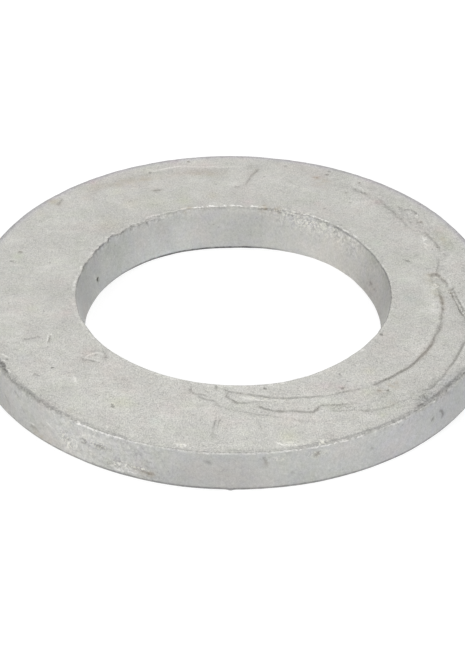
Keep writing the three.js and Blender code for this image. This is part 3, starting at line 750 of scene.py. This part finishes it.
for x, y, radius, squash, turn, red, green, blue in (
 (.803, -.05, .25, 3, 90, -2, -4, -6), (.84, .39, 1.4, 2.2, 115, -3, -1, -7),
        (-.73, .64, .5, 1.5, 45, -9, -8, -16), (-.57, .745, 1.2, 2, 37, -3, -4, -6), (-.46, .77, .9, 1.5, 30, -2, -3, -4),
        (-.12, .862, 1.6, 3.5, -5, -1, -3, -4),
        (-.20, .65, .7, 1, 0, 0, 1, -5), (-.33, .64, 1.1, 1, 0, -1, 0, -5), (-.42, .63, .8, 1, 0, 1, -1, -5),
        (-.50, .48, 1.0, 1, 0, 1, 0, -5), (-.48, .72, .6, 1, 0, 2, 3, -2), (-.09, .70, .6, 1, 0, 1, 0, -5),
        (-.85, .25, .45, 1, 0, -4, -1, -8), (-.86, .15, .4, 1, 0, -3, 1, 0), (-.77, -.12, .5, 1, 0, -2, 0, -6),
        (-.64, -.14, .5, 1, 0, 0, -4, -3), (-.54, -.41, .45, 1, 0, 6, 2, 1), (-.41, -.71, .9, 1, 0, 5, 5, -1),
        (-.16, -.72, .6, 1, 0, 2, 3, -2), (-.23, -.72, .35, 1, 0, 2, -2, 0), (-.28, -.82, .5, 1, 0, -3, 1, -1),
        (.205, -.91, .7, 1, 0, 3, 3, -5), (.20, -.82, .7, 1, 0, 3, 0, -1), (.34, -.59, .45, 1, 0, 1, -4, 0),
        (.40, -.60, .3, 1, 0, 2, -4, 0), (.34, .845, .4, 1.5, 0, -4, -9, -10), (.34, .645, .35, 1, 0, 1, -4, -3),
        (.51, -.50, .5, 1, 0, 1, 1, -5), (.55, -.77, .4, 1, 0, -2, 0, -7), (.545, -.62, .4, 1, 0, -5, -8, -12),
        (.50, -.63, .5, 1, 0, -1, 2, -5), (.68, -.02, .6, 1, 0, -4, 0, -1), (.66, .10, .5, 1, 0, -2, 2, -2),
        (.57, .36, .5, 1, 0, -3, 1, -2), (.06, .655, .5, 1, 0, 2, -3, 0), (.58, .66, .4, 1, 0, -3, -10, -8),
        (.82, .47, .5, 1, 0, 2, -3, -2), (-.25, .95, .5, 1, 0, 3, -1, 2), (-.10, .93, 1.0, 2, 0, 3, 0, 0),
        (-.58, .79, .35, 1, 0, 3, -4, -1), (-.60, .67, .6, 1, 0, 2, -1, -1), (-.78, .55, .5, 1, 0, 2, 0, -2),
        (.80, -.56, 1.1, 2, 55, -2, -1, 3), (.72, -.66, .9, 2, 45, -2, -1, 3), (-.79, -.435, .6, 1, 0, 0, 1, 4)):
    tint_and_shading += patch(x, y, radius, 1.0, squash, turn)[..., None] * np.array([red, green, blue], float)

# faint stained bands: behind the hole inside the rim, and at the right beside the crease
for points, width, shift in (
        ([(-.60, .735, .4), (-.55, .755, .8), (-.482, .780, 1), (-.374, .820, 1), (-.279, .842, .9), (-.122, .872, 1), (-.04, .876, .5)], .50, (-2, -4, -6)),
        ([(-.64, .755, .5), (-.55, .805, 1), (-.46, .845, 1), (-.36, .880, .8), (-.24, .910, .8), (-.12, .925, .6)], .45, (2, 0, 0)),
        ([(.760, .142, .6), (.771, .095, 1), (.783, .055, 1), (.790, .012, .8), (.797, -.025, .4)], .36, (-9, -7.5, -11))):
    tint_and_shading += smear(points, width, 1.0)[..., None] * np.array(shift, float)


def ring_tone(start, end, pairs):
    """Slow changes round one band of the upper face, start and end in rim radii."""
    edge = (smooth(start - .03, start + .03, np.hypot(X, Y) / U) if start > .64 else 1.0) \
        * (1 - smooth(end - .03, end + .03, np.hypot(X, Y) / U) if end < .95 else 1.0)
    tint_and_shading[...] += np.where(on_top, by_angle(theta, pairs)[:, None] * edge, 0)[..., None]


# painted highlight on the hole's rounded edge at 62 to 70 and 108 to 124 degrees, with painted shade on the face just
# beside it
tint_and_shading += np.where(on("mouth_edge"), by_angle(theta, [(56, 0), (62, 10), (70, 9), (76, 0), (102, 0), (108, 14), (118, 14), (124, 7), (134, 6), (140, 0)])[:, None], 0)[..., None]
tint_and_shading += np.where(on("top"), by_angle(theta, [(102, 0), (108, -8), (117, -7), (123, -3), (128, 0)])[:, None]
                 * (1 - smooth(.3, .75, -from_mouth)), 0)[..., None]
ring_tone(.60, .72, [(10, -3), (30, -5), (50, -8), (70, -4), (90, -5), (110, -5), (130, -4), (150, -2), (170, -2), (190, -5), (210, 0),
                     (230, 1), (250, 4), (270, 7), (290, 3), (310, 0), (330, -5), (350, -5)])
ring_tone(.72, .82, [(10, -1), (30, -2), (90, -1), (110, -3), (130, -4), (150, -2), (170, 0), (230, 1), (250, 3), (270, 6), (290, 7),
                     (310, 3), (330, 0), (350, -1)])
ring_tone(.82, .90, [(10, -1), (30, -2), (50, 1), (70, -5), (90, -3), (110, -1), (130, 0), (150, -3), (170, -1), (210, 3), (230, 0),
                     (250, 2), (270, 5), (290, 4), (310, 3), (330, 0), (350, -6)])
ring_tone(.90, .99, [(10, -7), (30, -2), (50, -3), (70, -6), (90, -2), (110, 1), (130, -2), (150, -3), (170, -3), (190, 0), (250, 0),
                     (270, 3), (290, 3), (310, -2), (330, 0), (350, -6)])
# painted shade on the face in a band just outside the hole, and painted light on the hole's wall just under the edge
up_to_mouth = -from_mouth
tint_and_shading += np.where(on("top", "mouth_edge"), -np.exp(-((up_to_mouth - 0.28) / 0.30) ** 2)
                 * by_angle(theta, [(8, 3), (22, 5), (38, 7), (52, 12), (67, 9), (82, 4), (97, 8), (112, 7), (127, 2), (142, 4), (157, 5),
                                    (175, 2), (190, 0), (350, 0)])[:, None], 0)[..., None]
tint_and_shading += np.where(on("bore", "mouth_edge"), smooth(2.85, 3.3, Z)
                 * by_angle(theta, [(10, 0), (24, 0), (38, 5), (55, 0), (70, 1), (82, 7), (97, 6), (112, 7), (127, 4), (142, 10), (157, 5),
                                    (170, 0)])[:, None], 0)[..., None]
put3("tint_and_shading", *(1 + np.clip(tint_and_shading, -40, 40)[..., k] / 100 for k in range(3)))
# painted shade at the foot of both walls, where the roll turns under towards the floor
foot_shade = np.where(on("rim_roll", "rim"), by_angle(theta, [(0, .4), (180, .35), (205, .40), (225, .46), (260, .50), (300, .50), (325, .48)])[:, None],
                by_angle(theta, [(0, .10), (40, .02), (66, .05), (76, .55), (84, .92), (118, .94), (130, .72), (145, .38), (160, .16),
                                 (180, .12), (270, .3)])[:, None]) * on("rim_roll", "rim", "bore_roll", "bore")
foot_top = np.where(on("rim_roll", "rim"), (rim_roll * 0.95)[:, None], 0.30)
put3("foot_shade", foot_shade, foot_top, np.zeros_like(foot_shade))
# bright flecks: beads, curls and flakes of zinc, raised a little in the bump and painted as glints
fleck_glint = (patch(.195, -.955, .5, .75, 1.5, 5) + patch(.225, -.94, .4, .75) + patch(.31, -.945, .4, .8) + patch(.335, -.935, .35, .9) + patch(-.185, -.957, .40, .9, 1.2) + patch(.29, -.925, .5, .5, 2)
         + patch(.80, .12, .5, .6) + patch(.835, .03, .4, .6) + patch(-.17, .955, .9, .35, 3, 8) + patch(-.36, .90, .5, .3)
         + smear([(.72, .47, .5), (.742, .43, .9), (.75, .38, 1), (.76, .33, .9), (.775, .27, .6), (.785, .21, .4)], .60, .26)
         + smear([(.67, .54, .5), (.69, .50, .6), (.71, .47, .5)], .3, .4)
         + smear([(.02, -.655, .6), (.09, -.676, .9), (.16, -.684, 1), (.21, -.69, .8)], .30, .85)
         + smear([(.16, -.715, .6), (.24, -.722, .7), (.29, -.72, .6)], .25, .5)
         + smear([(.867, -.01, .5), (.872, -.07, .9), (.888, -.12, .9), (.905, -.17, .6)], .12, .9)
         + patch(-.195, -.955, .5, .6, 1.3) + patch(-.52, -.435, .3, .8, 1.5)
         + wall_patch("rim", 234, 1.2, .7, .5, .9) + wall_patch("rim", 241, 2.4, 1.8, .5, .75) + wall_patch("rim", 232, 2.0, .7, .5, .8) + wall_patch("rim", 237, 1.9, 1.2, .5, .2) + wall_patch("rim", 246, 1.0, 2.0, .35, .5)
         + wall_patch("rim", 288, 2.9, 1.0, .35, .7) + wall_patch("rim", 280, 3.0, .8, .3, .6) + wall_patch("bore", 158.1, 1.80, .2, .2, 1)
         + wall_patch("rim", 231.5, 1.6, .5, .3, .4) + wall_patch("rim", 240, 1.3, 1.0, .35, .2) + wall_patch("rim", 250, 1.25, 1.3, .10, 1)
         + wall_patch("rim", 246.5, 1.5, .9, .08, 1) + wall_patch("rim", 247.5, .95, 1.1, .07, .8) + wall_patch("rim", 253, 1.12, .7, .07, .7)
         + near_mouth * by_angle(theta, [(48, 0), (56, .6), (64, 1), (74, .8), (80, .2), (120, 0), (330, 0)])[:, None]
         + on("bore") * smooth(1.6, 3.2, Z) * by_angle(theta, [(40, 0), (48, .4), (62, .6), (70, .2), (78, 0), (330, 0)])[:, None])
put("fleck_glint", np.clip(fleck_glint, 0, 1))
# 0 on the bearing faces, 1 on the sheared walls
put("sheared", np.where(wall, 1.0, np.where(on("rim_edge"), 1 - share[None], np.where(on("mouth_edge"), share[None], 0.0))))
put("gritty", np.clip(near_rim * rim_torn + near_mouth * mouth_torn
                      + on("bore") * 0.8 * band(TH, 36, 72, 14) * smooth(1.2, 3.4, Z)
                      + on("bore") * by_angle(theta, [(0, .38), (20, .38), (36, .25), (50, 0), (325, 0), (345, .3)])[:, None]
                      + on("rim") * 0.55 * band(TH, 230, 256, 8) + on("rim") * 0.22 * band(TH, 200, 228, 8) + on("rim") * 0.16 * band(TH, 262, 330, 10)
                      + smear([(.435, .80, .4), (.50, .745, .7), (.60, .665, .9), (.70, .57, 1), (.78, .44, 1), (.82, .32, .8), (.83, .2, .7),
                               (.82, .08, .9), (.83, -.05, .6)], 1.3, .55), 0, 1))

# the coat froze rougher towards the front and the right
put("coarse", 1.12 + 0.16 * np.cos(TH - math.radians(185)).clip(0, 1) + 0.36 * np.clip(by_angle(theta, [(0, .7), (60, .1), (100, 0), (180, 0), (215, .6), (250, 1), (300, 1.1), (335, 1)])[:, None]
                                   * np.where(on_bore & ~on("mouth_edge"), 0.2, 1), 0, 1.3)
    - np.where(on("rim", "rim_roll"), .35, 0))

# ---- zinc -------------------------------------------------------------------
mat = bpy.data.materials.new("hot_dip_zinc")
mat.use_nodes = True
nt = mat.node_tree
for n in list(nt.nodes):
    nt.nodes.remove(n)


def node(kind_, **values):
    n = nt.nodes.new(kind_)
    for k, v in values.items():
        if k in ("operation", "blend_type", "data_type", "noise_dimensions", "attribute_name", "feature", "distance",
                 "interpolation_type", "clamp", "use_clamp", "normalize", "invert", "voronoi_dimensions"):
            setattr(n, k, v)
        else:
            n.inputs[k].default_value = v
    return n


def link(a, b):
    nt.links.new(a, b)


def math_(op, a, b=None, c=None, clamp=False):
    n = nt.nodes.new("ShaderNodeMath")
    n.operation = op
    n.use_clamp = clamp
    for k, v in enumerate((a, b, c)):
        if v is None:
            continue
        if isinstance(v, (int, float)):
            n.inputs[k].default_value = v
        else:
            link(v, n.inputs[k])
    return n.outputs[0]


def ramp(value, from_a, from_b, to_a=0.0, to_b=1.0, smoothly=True):
    n = nt.nodes.new("ShaderNodeMapRange")
    n.interpolation_type = "SMOOTHSTEP" if smoothly else "LINEAR"
    n.clamp = True
    link(value, n.inputs["Value"])
    n.inputs["From Min"].default_value = from_a
    n.inputs["From Max"].default_value = from_b
    n.inputs["To Min"].default_value = to_a
    n.inputs["To Max"].default_value = to_b
    return n.outputs["Result"]


def attr(name):
    n = nt.nodes.new("ShaderNodeAttribute")
    n.attribute_type = "GEOMETRY"
    n.attribute_name = name
    return n


def mix(fac, a, b, blend="MIX"):
    n = nt.nodes.new("ShaderNodeMix")
    n.data_type = "RGBA"
    n.blend_type = blend
    n.clamp_factor = True
    if isinstance(fac, (int, float)):
        n.inputs[0].default_value = fac
    else:
        link(fac, n.inputs[0])
    for k, v in ((6, a), (7, b)):
        if isinstance(v, tuple):
            n.inputs[k].default_value = (*v, 1.0)
        else:
            link(v, n.inputs[k])
    return n.outputs[2]


coords = nt.nodes.new("ShaderNodeTexCoord").outputs["Object"]
scaled = nt.nodes.new("ShaderNodeVectorMath")
scaled.operation = "SCALE"
scaled.inputs["Scale"].default_value = 1000.0
link(coords, scaled.inputs[0])
MM = scaled.outputs[0]                                    # the surface point in millimetres


def noise(per_mm, detail=2.0, rough=0.5, distort=0.0, vector=None, shift=None):
    n = nt.nodes.new("ShaderNodeTexNoise")
    n.noise_dimensions = "3D"
    v = vector or MM
    if shift is not None:
        m = nt.nodes.new("ShaderNodeVectorMath")
        m.operation = "ADD"
        m.inputs[1].default_value = (shift, shift * .7, shift * 1.3)
        link(v, m.inputs[0])
        v = m.outputs[0]
    link(v, n.inputs["Vector"])
    n.inputs["Scale"].default_value = per_mm
    n.inputs["Detail"].default_value = detail
    n.inputs["Roughness"].default_value = rough
    n.inputs["Distortion"].default_value = distort
    return n


def cells(per_mm, feature="F1", shift=0.0, randomness=1.0):
    m = nt.nodes.new("ShaderNodeVectorMath")
    m.operation = "ADD"
    m.inputs[1].default_value = (shift, shift * .6, shift * 1.7)
    link(MM, m.inputs[0])
    n = nt.nodes.new("ShaderNodeTexVoronoi")
    n.feature = feature
    link(m.outputs[0], n.inputs["Vector"])
    n.inputs["Scale"].default_value = per_mm
    n.inputs["Randomness"].default_value = randomness
    return n


sheared = attr("sheared").outputs["Fac"]
gritty = attr("gritty").outputs["Fac"]
stain_v = attr("stain").outputs["Fac"]
tone_and_shade_v = attr("tone_and_shade").outputs["Fac"]

wobble = math_("SUBTRACT", noise(2.2, 2.0, shift=4.0).outputs["Fac"], 0.5)
jagged = math_("SUBTRACT", noise(4.2, 2.0, 0.6, shift=84.0).outputs["Fac"], 0.5)
breakup = noise(5.0, 2.0, 0.6, shift=14.0).outputs["Fac"]
tear_n = noise(1.9, 2.0, 0.65, 0.3, shift=70.0).outputs["Fac"]
fleck_n = noise(2.6, 2.0, 0.6, 0.4, shift=95.0).outputs["Fac"]
fleck_small = noise(3.6, 1.0, 0.5, 0.5, shift=98.0).outputs["Fac"]
fleck_fine = noise(6.8, 1.0, 0.5, 0.4, shift=99.0).outputs["Fac"]


def edge_shade_and_highlight(name, offset_mm, inner, outer, lip_at, lip_width):
    """Painted shade in a crease along an edge and a painted highlight on the bead beside it, both broken up."""
    sep = nt.nodes.new("ShaderNodeSeparateXYZ")
    link(attr(name).outputs["Vector"], sep.inputs[0])
    d = math_("ADD", sep.outputs[0], math_("ADD", math_("MULTIPLY", wobble, 0.12), math_("MULTIPLY", jagged, 0.34)))
    core = ramp(math_("ABSOLUTE", math_("SUBTRACT", d, offset_mm)), inner, outer, 1.0, 0.0)
    broken = ramp(math_("ADD", tear_n, math_("MULTIPLY", sep.outputs[1], 0.45)), 0.56, 0.90)
    dark = math_("MULTIPLY", math_("MULTIPLY", core, broken), sep.outputs[1], clamp=True)
    bead = ramp(math_("ABSOLUTE", math_("SUBTRACT", d, lip_at)), lip_width * 0.35, lip_width, 1.0, 0.0)
    patchy = ramp(math_("ADD", fleck_n, math_("MULTIPLY", sep.outputs[2], 0.20)), 0.54, 0.70)
    return dark, math_("MULTIPLY", math_("MULTIPLY", bead, patchy), sep.outputs[2], clamp=True)


rim_edge_shade, rim_edge_highlight = edge_shade_and_highlight("rim_shading_line", 0.25, 0.05, 0.20, -0.06, 0.10)
mouth_edge_shade, mouth_edge_highlight = edge_shade_and_highlight("mouth_shading_line", 0.04, 0.03, 0.13, -0.22, 0.15)
edge_shade = math_("MAXIMUM", rim_edge_shade, mouth_edge_shade)
edge_highlight = math_("MAXIMUM", rim_edge_highlight, mouth_edge_highlight)
line_shade, line_brown, line_height, line_lip_highlight = None, None, None, None
for k in range(4):
    at = attr(f"line{k}")
    sep = nt.nodes.new("ShaderNodeSeparateXYZ")
    link(at.outputs["Vector"], sep.inputs[0])
    d_k = math_("ADD", sep.outputs[0], math_("MULTIPLY", wobble, 0.10))
    # painted shade in each crease and a painted highlight on its raised side
    core = ramp(math_("ABSOLUTE", d_k), 0.01, 0.17, 1.0, 0.0)
    halo = ramp(math_("ABSOLUTE", d_k), 0.05, 0.42, 1.0, 0.0)
    broken = ramp(math_("ADD", math_("MULTIPLY", breakup, 1.3), math_("MULTIPLY", sep.outputs[1], 0.7)), 0.62, 1.15, 0.15, 1.0)
    dark = math_("MULTIPLY", math_("MULTIPLY", core, broken), sep.outputs[1])
    dark = math_("ADD", dark, math_("MULTIPLY", math_("MULTIPLY", halo, sep.outputs[1]), 0.16))
    brown = math_("MULTIPLY", math_("MULTIPLY", halo, sep.outputs[1]), sep.outputs[2])
    beside = ramp(math_("ABSOLUTE", math_("SUBTRACT", d_k, 0.26)), 0.04, 0.16, 1.0, 0.0)
    lip = math_("MULTIPLY", math_("MULTIPLY", beside, sep.outputs[1]), ramp(fleck_n, 0.40, 0.62))
    step = math_("MULTIPLY", ramp(d_k, -0.05, 0.10), sep.outputs[1])
    line_shade = dark if line_shade is None else math_("MAXIMUM", line_shade, dark)
    line_brown = brown if line_brown is None else math_("MAXIMUM", line_brown, brown)
    if k < 3:
        line_lip_highlight = lip if line_lip_highlight is None else math_("MAXIMUM", line_lip_highlight, lip)
    if k < 3:
        line_height = step if line_height is None else math_("ADD", line_height, step)

bright_sep = nt.nodes.new("ShaderNodeSeparateXYZ")
link(attr("line4").outputs["Vector"], bright_sep.inputs[0])
hair_highlight = ramp(math_("ABSOLUTE", math_("ADD", bright_sep.outputs[0], math_("MULTIPLY", wobble, 0.10))), 0.01, 0.14, 1.0, 0.0)
hair_highlight = math_("MULTIPLY", math_("MULTIPLY", hair_highlight, bright_sep.outputs[1]), ramp(breakup, 0.34, 0.60, 0.3, 1.0), clamp=True)

pit_sep = nt.nodes.new("ShaderNodeSeparateXYZ")
link(attr("pit").outputs["Vector"], pit_sep.inputs[0])
pit_near = math_("ADD", pit_sep.outputs[0], math_("MULTIPLY", wobble, 0.8))
pit_dark = math_("MULTIPLY", ramp(pit_near, 0.55, 1.15, 1.0, 0.0), pit_sep.outputs[1])
pit_brown = math_("MULTIPLY", ramp(pit_near, 0.6, 2.0, 1.0, 0.0), pit_sep.outputs[2])

# the dull crystal grain of the coat, a few tenths of a millimetre and finer
# and drawn out a little the way the plate was rolled
rolled = nt.nodes.new("ShaderNodeVectorMath")
rolled.operation = "MULTIPLY"
rolled.inputs[1].default_value = (1.30, 0.85, 1.0)
link(MM, rolled.inputs[0])
grain_a = noise(4.9, 2.0, 0.62, 0.2, vector=rolled.outputs[0]).outputs["Fac"]
grain_b = noise(9.0, 1.0, 0.5, vector=rolled.outputs[0], shift=3.0).outputs["Fac"]
grain_c = noise(2.3, 1.0, 0.5, 0.3, shift=45.0).outputs["Fac"]
mottle = noise(0.55, 3.0, 0.55, 0.6, shift=9.0).outputs["Fac"]
drift = noise(0.14, 2.0, 0.5, shift=21.0).outputs["Fac"]
hue = noise(0.42, 2.0, 0.5, shift=33.0).outputs["Fac"]
hue_fine = noise(1.5, 2.0, 0.5, shift=36.0).outputs["Fac"]
cloud = noise(0.30, 2.0, 0.55, 0.5, shift=55.0).outputs["Fac"]
specks = cells(1.9, shift=5.0)
speck = math_("MULTIPLY", ramp(specks.outputs["Distance"], 0.07, 0.17, 1.0, 0.0),
              ramp(noise(0.7, 1.0, shift=40.0).outputs["Fac"], 0.50, 0.62))

light = mix(drift, (0.430, 0.426, 0.401), (0.462, 0.458, 0.431))
light = mix(math_("MULTIPLY", sheared, 0.75), light, (0.428, 0.432, 0.422))
light = mix(math_("MULTIPLY", math_("MULTIPLY", sheared, ramp(hue_fine, 0.46, 0.66)), 0.40), light, (0.436, 0.430, 0.452))
light = mix(math_("MULTIPLY", ramp(mottle, 0.30, 0.72), 0.8), light, (0.478, 0.473, 0.447))
light = mix(math_("MULTIPLY", ramp(hue, 0.50, 0.72), 0.32), light, (0.474, 0.432, 0.410))
light = mix(math_("MULTIPLY", ramp(hue, 0.48, 0.30), 0.26), light, (0.420, 0.440, 0.372))
light = mix(math_("MULTIPLY", ramp(hue_fine, 0.52, 0.72), 0.16), light, (0.440, 0.425, 0.440))
light = mix(math_("MULTIPLY", ramp(hue_fine, 0.48, 0.28), 0.12), light, (0.462, 0.450, 0.372))

grain = math_("ADD", math_("MULTIPLY", math_("SUBTRACT", grain_a, 0.5), 0.80),
              math_("MULTIPLY", math_("SUBTRACT", grain_b, 0.5), 0.60))
grain = math_("ADD", grain, math_("MULTIPLY", math_("SUBTRACT", grain_c, 0.5), 0.20))
grain = math_("MULTIPLY", grain, attr("coarse").outputs["Fac"])
grain = math_("MULTIPLY", grain, math_("SUBTRACT", 1.0, math_("MULTIPLY", sheared, 0.46)))
grain = math_("ADD", grain, math_("MULTIPLY", math_("SUBTRACT", cloud, 0.5), 0.22))
grit_n = math_("MULTIPLY", math_("SUBTRACT", noise(3.1, 2.0, 0.7, 0.4, shift=50.0).outputs["Fac"], 0.5), gritty)
value = math_("ADD", math_("ADD", 1.0, grain), math_("MULTIPLY", grit_n, 1.5))
# random tone with painted shade and light beside the creases
value = math_("ADD", value, math_("MULTIPLY", tone_and_shade_v, 0.20))
value = math_("SUBTRACT", value, math_("MULTIPLY", speck, 0.16))
shade = nt.nodes.new("ShaderNodeCombineXYZ")
for k in range(3):
    link(value, shade.inputs[k])
colour = mix(1.0, light, shade.outputs[0], "MULTIPLY")
colour = mix(1.0, colour, attr("tint_and_shading").outputs["Vector"], "MULTIPLY")
colour = mix(math_("MULTIPLY", stain_v, ramp(noise(1.6, 3.0, 0.6, shift=60.0).outputs["Fac"], 0.36, 0.66)), colour,
             (0.36, 0.30, 0.21))
# painted highlights on the beads along both upper edges
colour = mix(math_("MULTIPLY", edge_highlight, 0.80), colour, (0.82, 0.81, 0.79))
# painted shade along both upper edges
colour = mix(math_("MULTIPLY", edge_shade, 0.56), colour, (0.146, 0.145, 0.143))
# painted highlight beside the creases
colour = mix(math_("MULTIPLY", line_lip_highlight, 0.26), colour, (0.66, 0.65, 0.62))
# painted shade in the creases
colour = mix(math_("MULTIPLY", line_shade, 0.22), colour, (0.110, 0.102, 0.088))
colour = mix(math_("MULTIPLY", line_brown, 0.20), colour, (0.26, 0.185, 0.12))
colour = mix(math_("MULTIPLY", pit_dark, 0.42), colour, (0.110, 0.104, 0.095))
colour = mix(math_("MULTIPLY", pit_brown, 0.35), colour, (0.30, 0.225, 0.155))
# painted highlights along the hairlines and curls
colour = mix(math_("MULTIPLY", hair_highlight, 0.85), colour, (0.80, 0.79, 0.75))
fleck_n2 = math_("ADD", math_("MULTIPLY", fleck_small, math_("SUBTRACT", 1.0, sheared)), math_("MULTIPLY", fleck_fine, sheared))
# painted glints on the flecks
fleck_glint_v = math_("MULTIPLY", attr("fleck_glint").outputs["Fac"], ramp(fleck_n2, 0.52, 0.59))
colour = mix(math_("MULTIPLY", fleck_glint_v, 0.66), colour, (0.78, 0.77, 0.69))
# painted shade along the foot of both walls
foot_sep = nt.nodes.new("ShaderNodeSeparateXYZ")
link(attr("foot_shade").outputs["Vector"], foot_sep.inputs[0])
point = nt.nodes.new("ShaderNodeSeparateXYZ")
link(MM, point.inputs[0])
above = math_("SUBTRACT", math_("ADD", point.outputs[2], math_("MULTIPLY", jagged, 0.08)), foot_sep.outputs[1])
painted_foot_shade = math_("MULTIPLY", ramp(above, -0.07, 0.07, 1.0, 0.0), foot_sep.outputs[0])
painted_foot_shade = math_("MULTIPLY", painted_foot_shade, ramp(tear_n, 0.36, 0.62, 0.80, 1.25))
colour = mix(painted_foot_shade, colour, (0.09, 0.09, 0.09))

rough = math_("ADD", 0.56, math_("MULTIPLY", math_("SUBTRACT", grain_a, 0.5), 0.35))
rough = math_("ADD", rough, math_("MULTIPLY", math_("SUBTRACT", mottle, 0.5), 0.25))
rough = math_("ADD", rough, math_("MULTIPLY", math_("MAXIMUM", line_shade, pit_dark), 0.25))
rough = math_("ADD", rough, math_("MULTIPLY", edge_highlight, -0.10), clamp=True)

fine = nt.nodes.new("ShaderNodeBump")
fine.inputs["Strength"].default_value = 0.55
fine.inputs["Distance"].default_value = 0.000022
height = math_("ADD", math_("MULTIPLY", grain_a, 1.0), math_("MULTIPLY", grain_b, 0.5))
height = math_("MULTIPLY", height, math_("SUBTRACT", 1.0, math_("MULTIPLY", sheared, 0.5)))
height = math_("ADD", height, math_("MULTIPLY", mottle, 1.6))
height = math_("ADD", height, math_("MULTIPLY", math_("ADD", grit_n, 0.0), 3.0))
height = math_("SUBTRACT", height, math_("MULTIPLY", speck, 1.2))
height = math_("SUBTRACT", height, math_("MULTIPLY", pit_dark, 2.5))
height = math_("SUBTRACT", height, math_("MULTIPLY", line_shade, 2.0))
height = math_("ADD", height, math_("MULTIPLY", line_height, 2.0))
height = math_("ADD", height, math_("MULTIPLY", fleck_glint_v, 2.0))
link(height, fine.inputs["Height"])

bsdf = nt.nodes.new("ShaderNodeBsdfPrincipled")
bsdf.inputs["Metallic"].default_value = 0.45
bsdf.inputs["IOR"].default_value = 1.5
link(colour, bsdf.inputs["Base Color"])
link(rough, bsdf.inputs["Roughness"])
link(fine.outputs["Normal"], bsdf.inputs["Normal"])
out = nt.nodes.new("ShaderNodeOutputMaterial")
link(bsdf.outputs[0], out.inputs["Surface"])
mesh.materials.append(mat)

ring = bpy.data.objects.new("washer_body", mesh)
bpy.context.scene.collection.objects.link(ring)
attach(ring, "root")
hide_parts("washer_ring")

# ---- floor, light and camera -------------------------------------------------
floor_mesh = bpy.data.meshes.new("floor")
S = 3.0
floor_mesh.from_pydata([(-S, -S, 0), (S, -S, 0), (S, S, 0), (-S, S, 0)], [], [(0, 1, 2, 3)])
floor = bpy.data.objects.new("floor", floor_mesh)
bpy.context.scene.collection.objects.link(floor)
floor.location.z = -0.00002
fmat = bpy.data.materials.new("pale_floor")
fmat.use_nodes = True
fb = fmat.node_tree.nodes["Principled BSDF"]
fb.inputs["Base Color"].default_value = (0.30, 0.30, 0.30, 1)
fb.inputs["Roughness"].default_value = 0.9
fb.inputs["Specular IOR Level"].default_value = 0.0
fb.inputs["Emission Color"].default_value = (1, 1, 1, 1)
fb.inputs["Emission Strength"].default_value = 0.80
floor_mesh.materials.append(fmat)

scene = bpy.context.scene
scene.view_settings.view_transform = "Standard"
scene.view_settings.look = "None"
scene.view_settings.exposure = 0.0
scene.view_settings.gamma = 1.0

world = bpy.data.worlds.new("studio")
scene.world = world
world.use_nodes = True
bg = world.node_tree.nodes["Background"]
bg.inputs["Color"].default_value = (1.0, 1.0, 1.0, 1)
bg.inputs["Strength"].default_value = 0.15


def softbox(name, azimuth, elevation, distance, size, power):
    """A square area light round the washer; azimuth 0 is +X, 270 the front."""
    az, el = math.radians(azimuth), math.radians(elevation)
    at = Vector((math.cos(az) * math.cos(el), math.sin(az) * math.cos(el), math.sin(el))) * distance
    data = bpy.data.lights.new(name, "AREA")
    data.shape = "SQUARE"
    data.size = size
    data.energy = power
    ob = bpy.data.objects.new(name, data)
    scene.collection.objects.link(ob)
    ob.location = at
    ob.rotation_euler = (-at).to_track_quat("-Z", "Y").to_euler()
    return ob


softbox("behind", 90, 45, 0.9, 0.6, 3.95)
softbox("front_left", 228, 30, 0.9, 0.4, 4.6)
softbox("front_right", 292, 30, 0.9, 0.4, 2.55)
softbox("left", 185, 25, 0.9, 0.4, 0.35)
softbox("right", 355, 25, 0.9, 0.4, 2.1)

# camera: the photograph's viewing angle, 35 degrees above the faces
ELEV, ROLL_DEG, FOCAL_PX, DIST, OFF_X, OFF_Y = 35.28, 0.59, 2947.0, 11.5, -0.002, 0.026
e, rl = math.radians(ELEV), math.radians(ROLL_DEG)
back = Vector((0, -math.cos(e), math.sin(e)))
right = Vector((1, 0, 0))
up = back.cross(right)
if up.z < 0:
    up = -up
r2 = right * math.cos(rl) + up * math.sin(rl)
u2 = -right * math.sin(rl) + up * math.cos(rl)
cam_data = bpy.data.cameras.new("camera")
cam_data.sensor_width = 36.0
cam_data.sensor_fit = "AUTO"
cam_data.lens = FOCAL_PX * 36.0 / 645.0
cam_data.clip_start = 0.01
cam_data.clip_end = 20.0
cam = bpy.data.objects.new("camera", cam_data)
scene.collection.objects.link(cam)
place = (back * DIST + r2 * OFF_X + u2 * OFF_Y) * (U / 1000.0)
cam.matrix_world = Matrix(((r2.x, u2.x, back.x, place.x), (r2.y, u2.y, back.y, place.y),
                           (r2.z, u2.z, back.z, place.z), (0, 0, 0, 1)))
scene.camera = cam
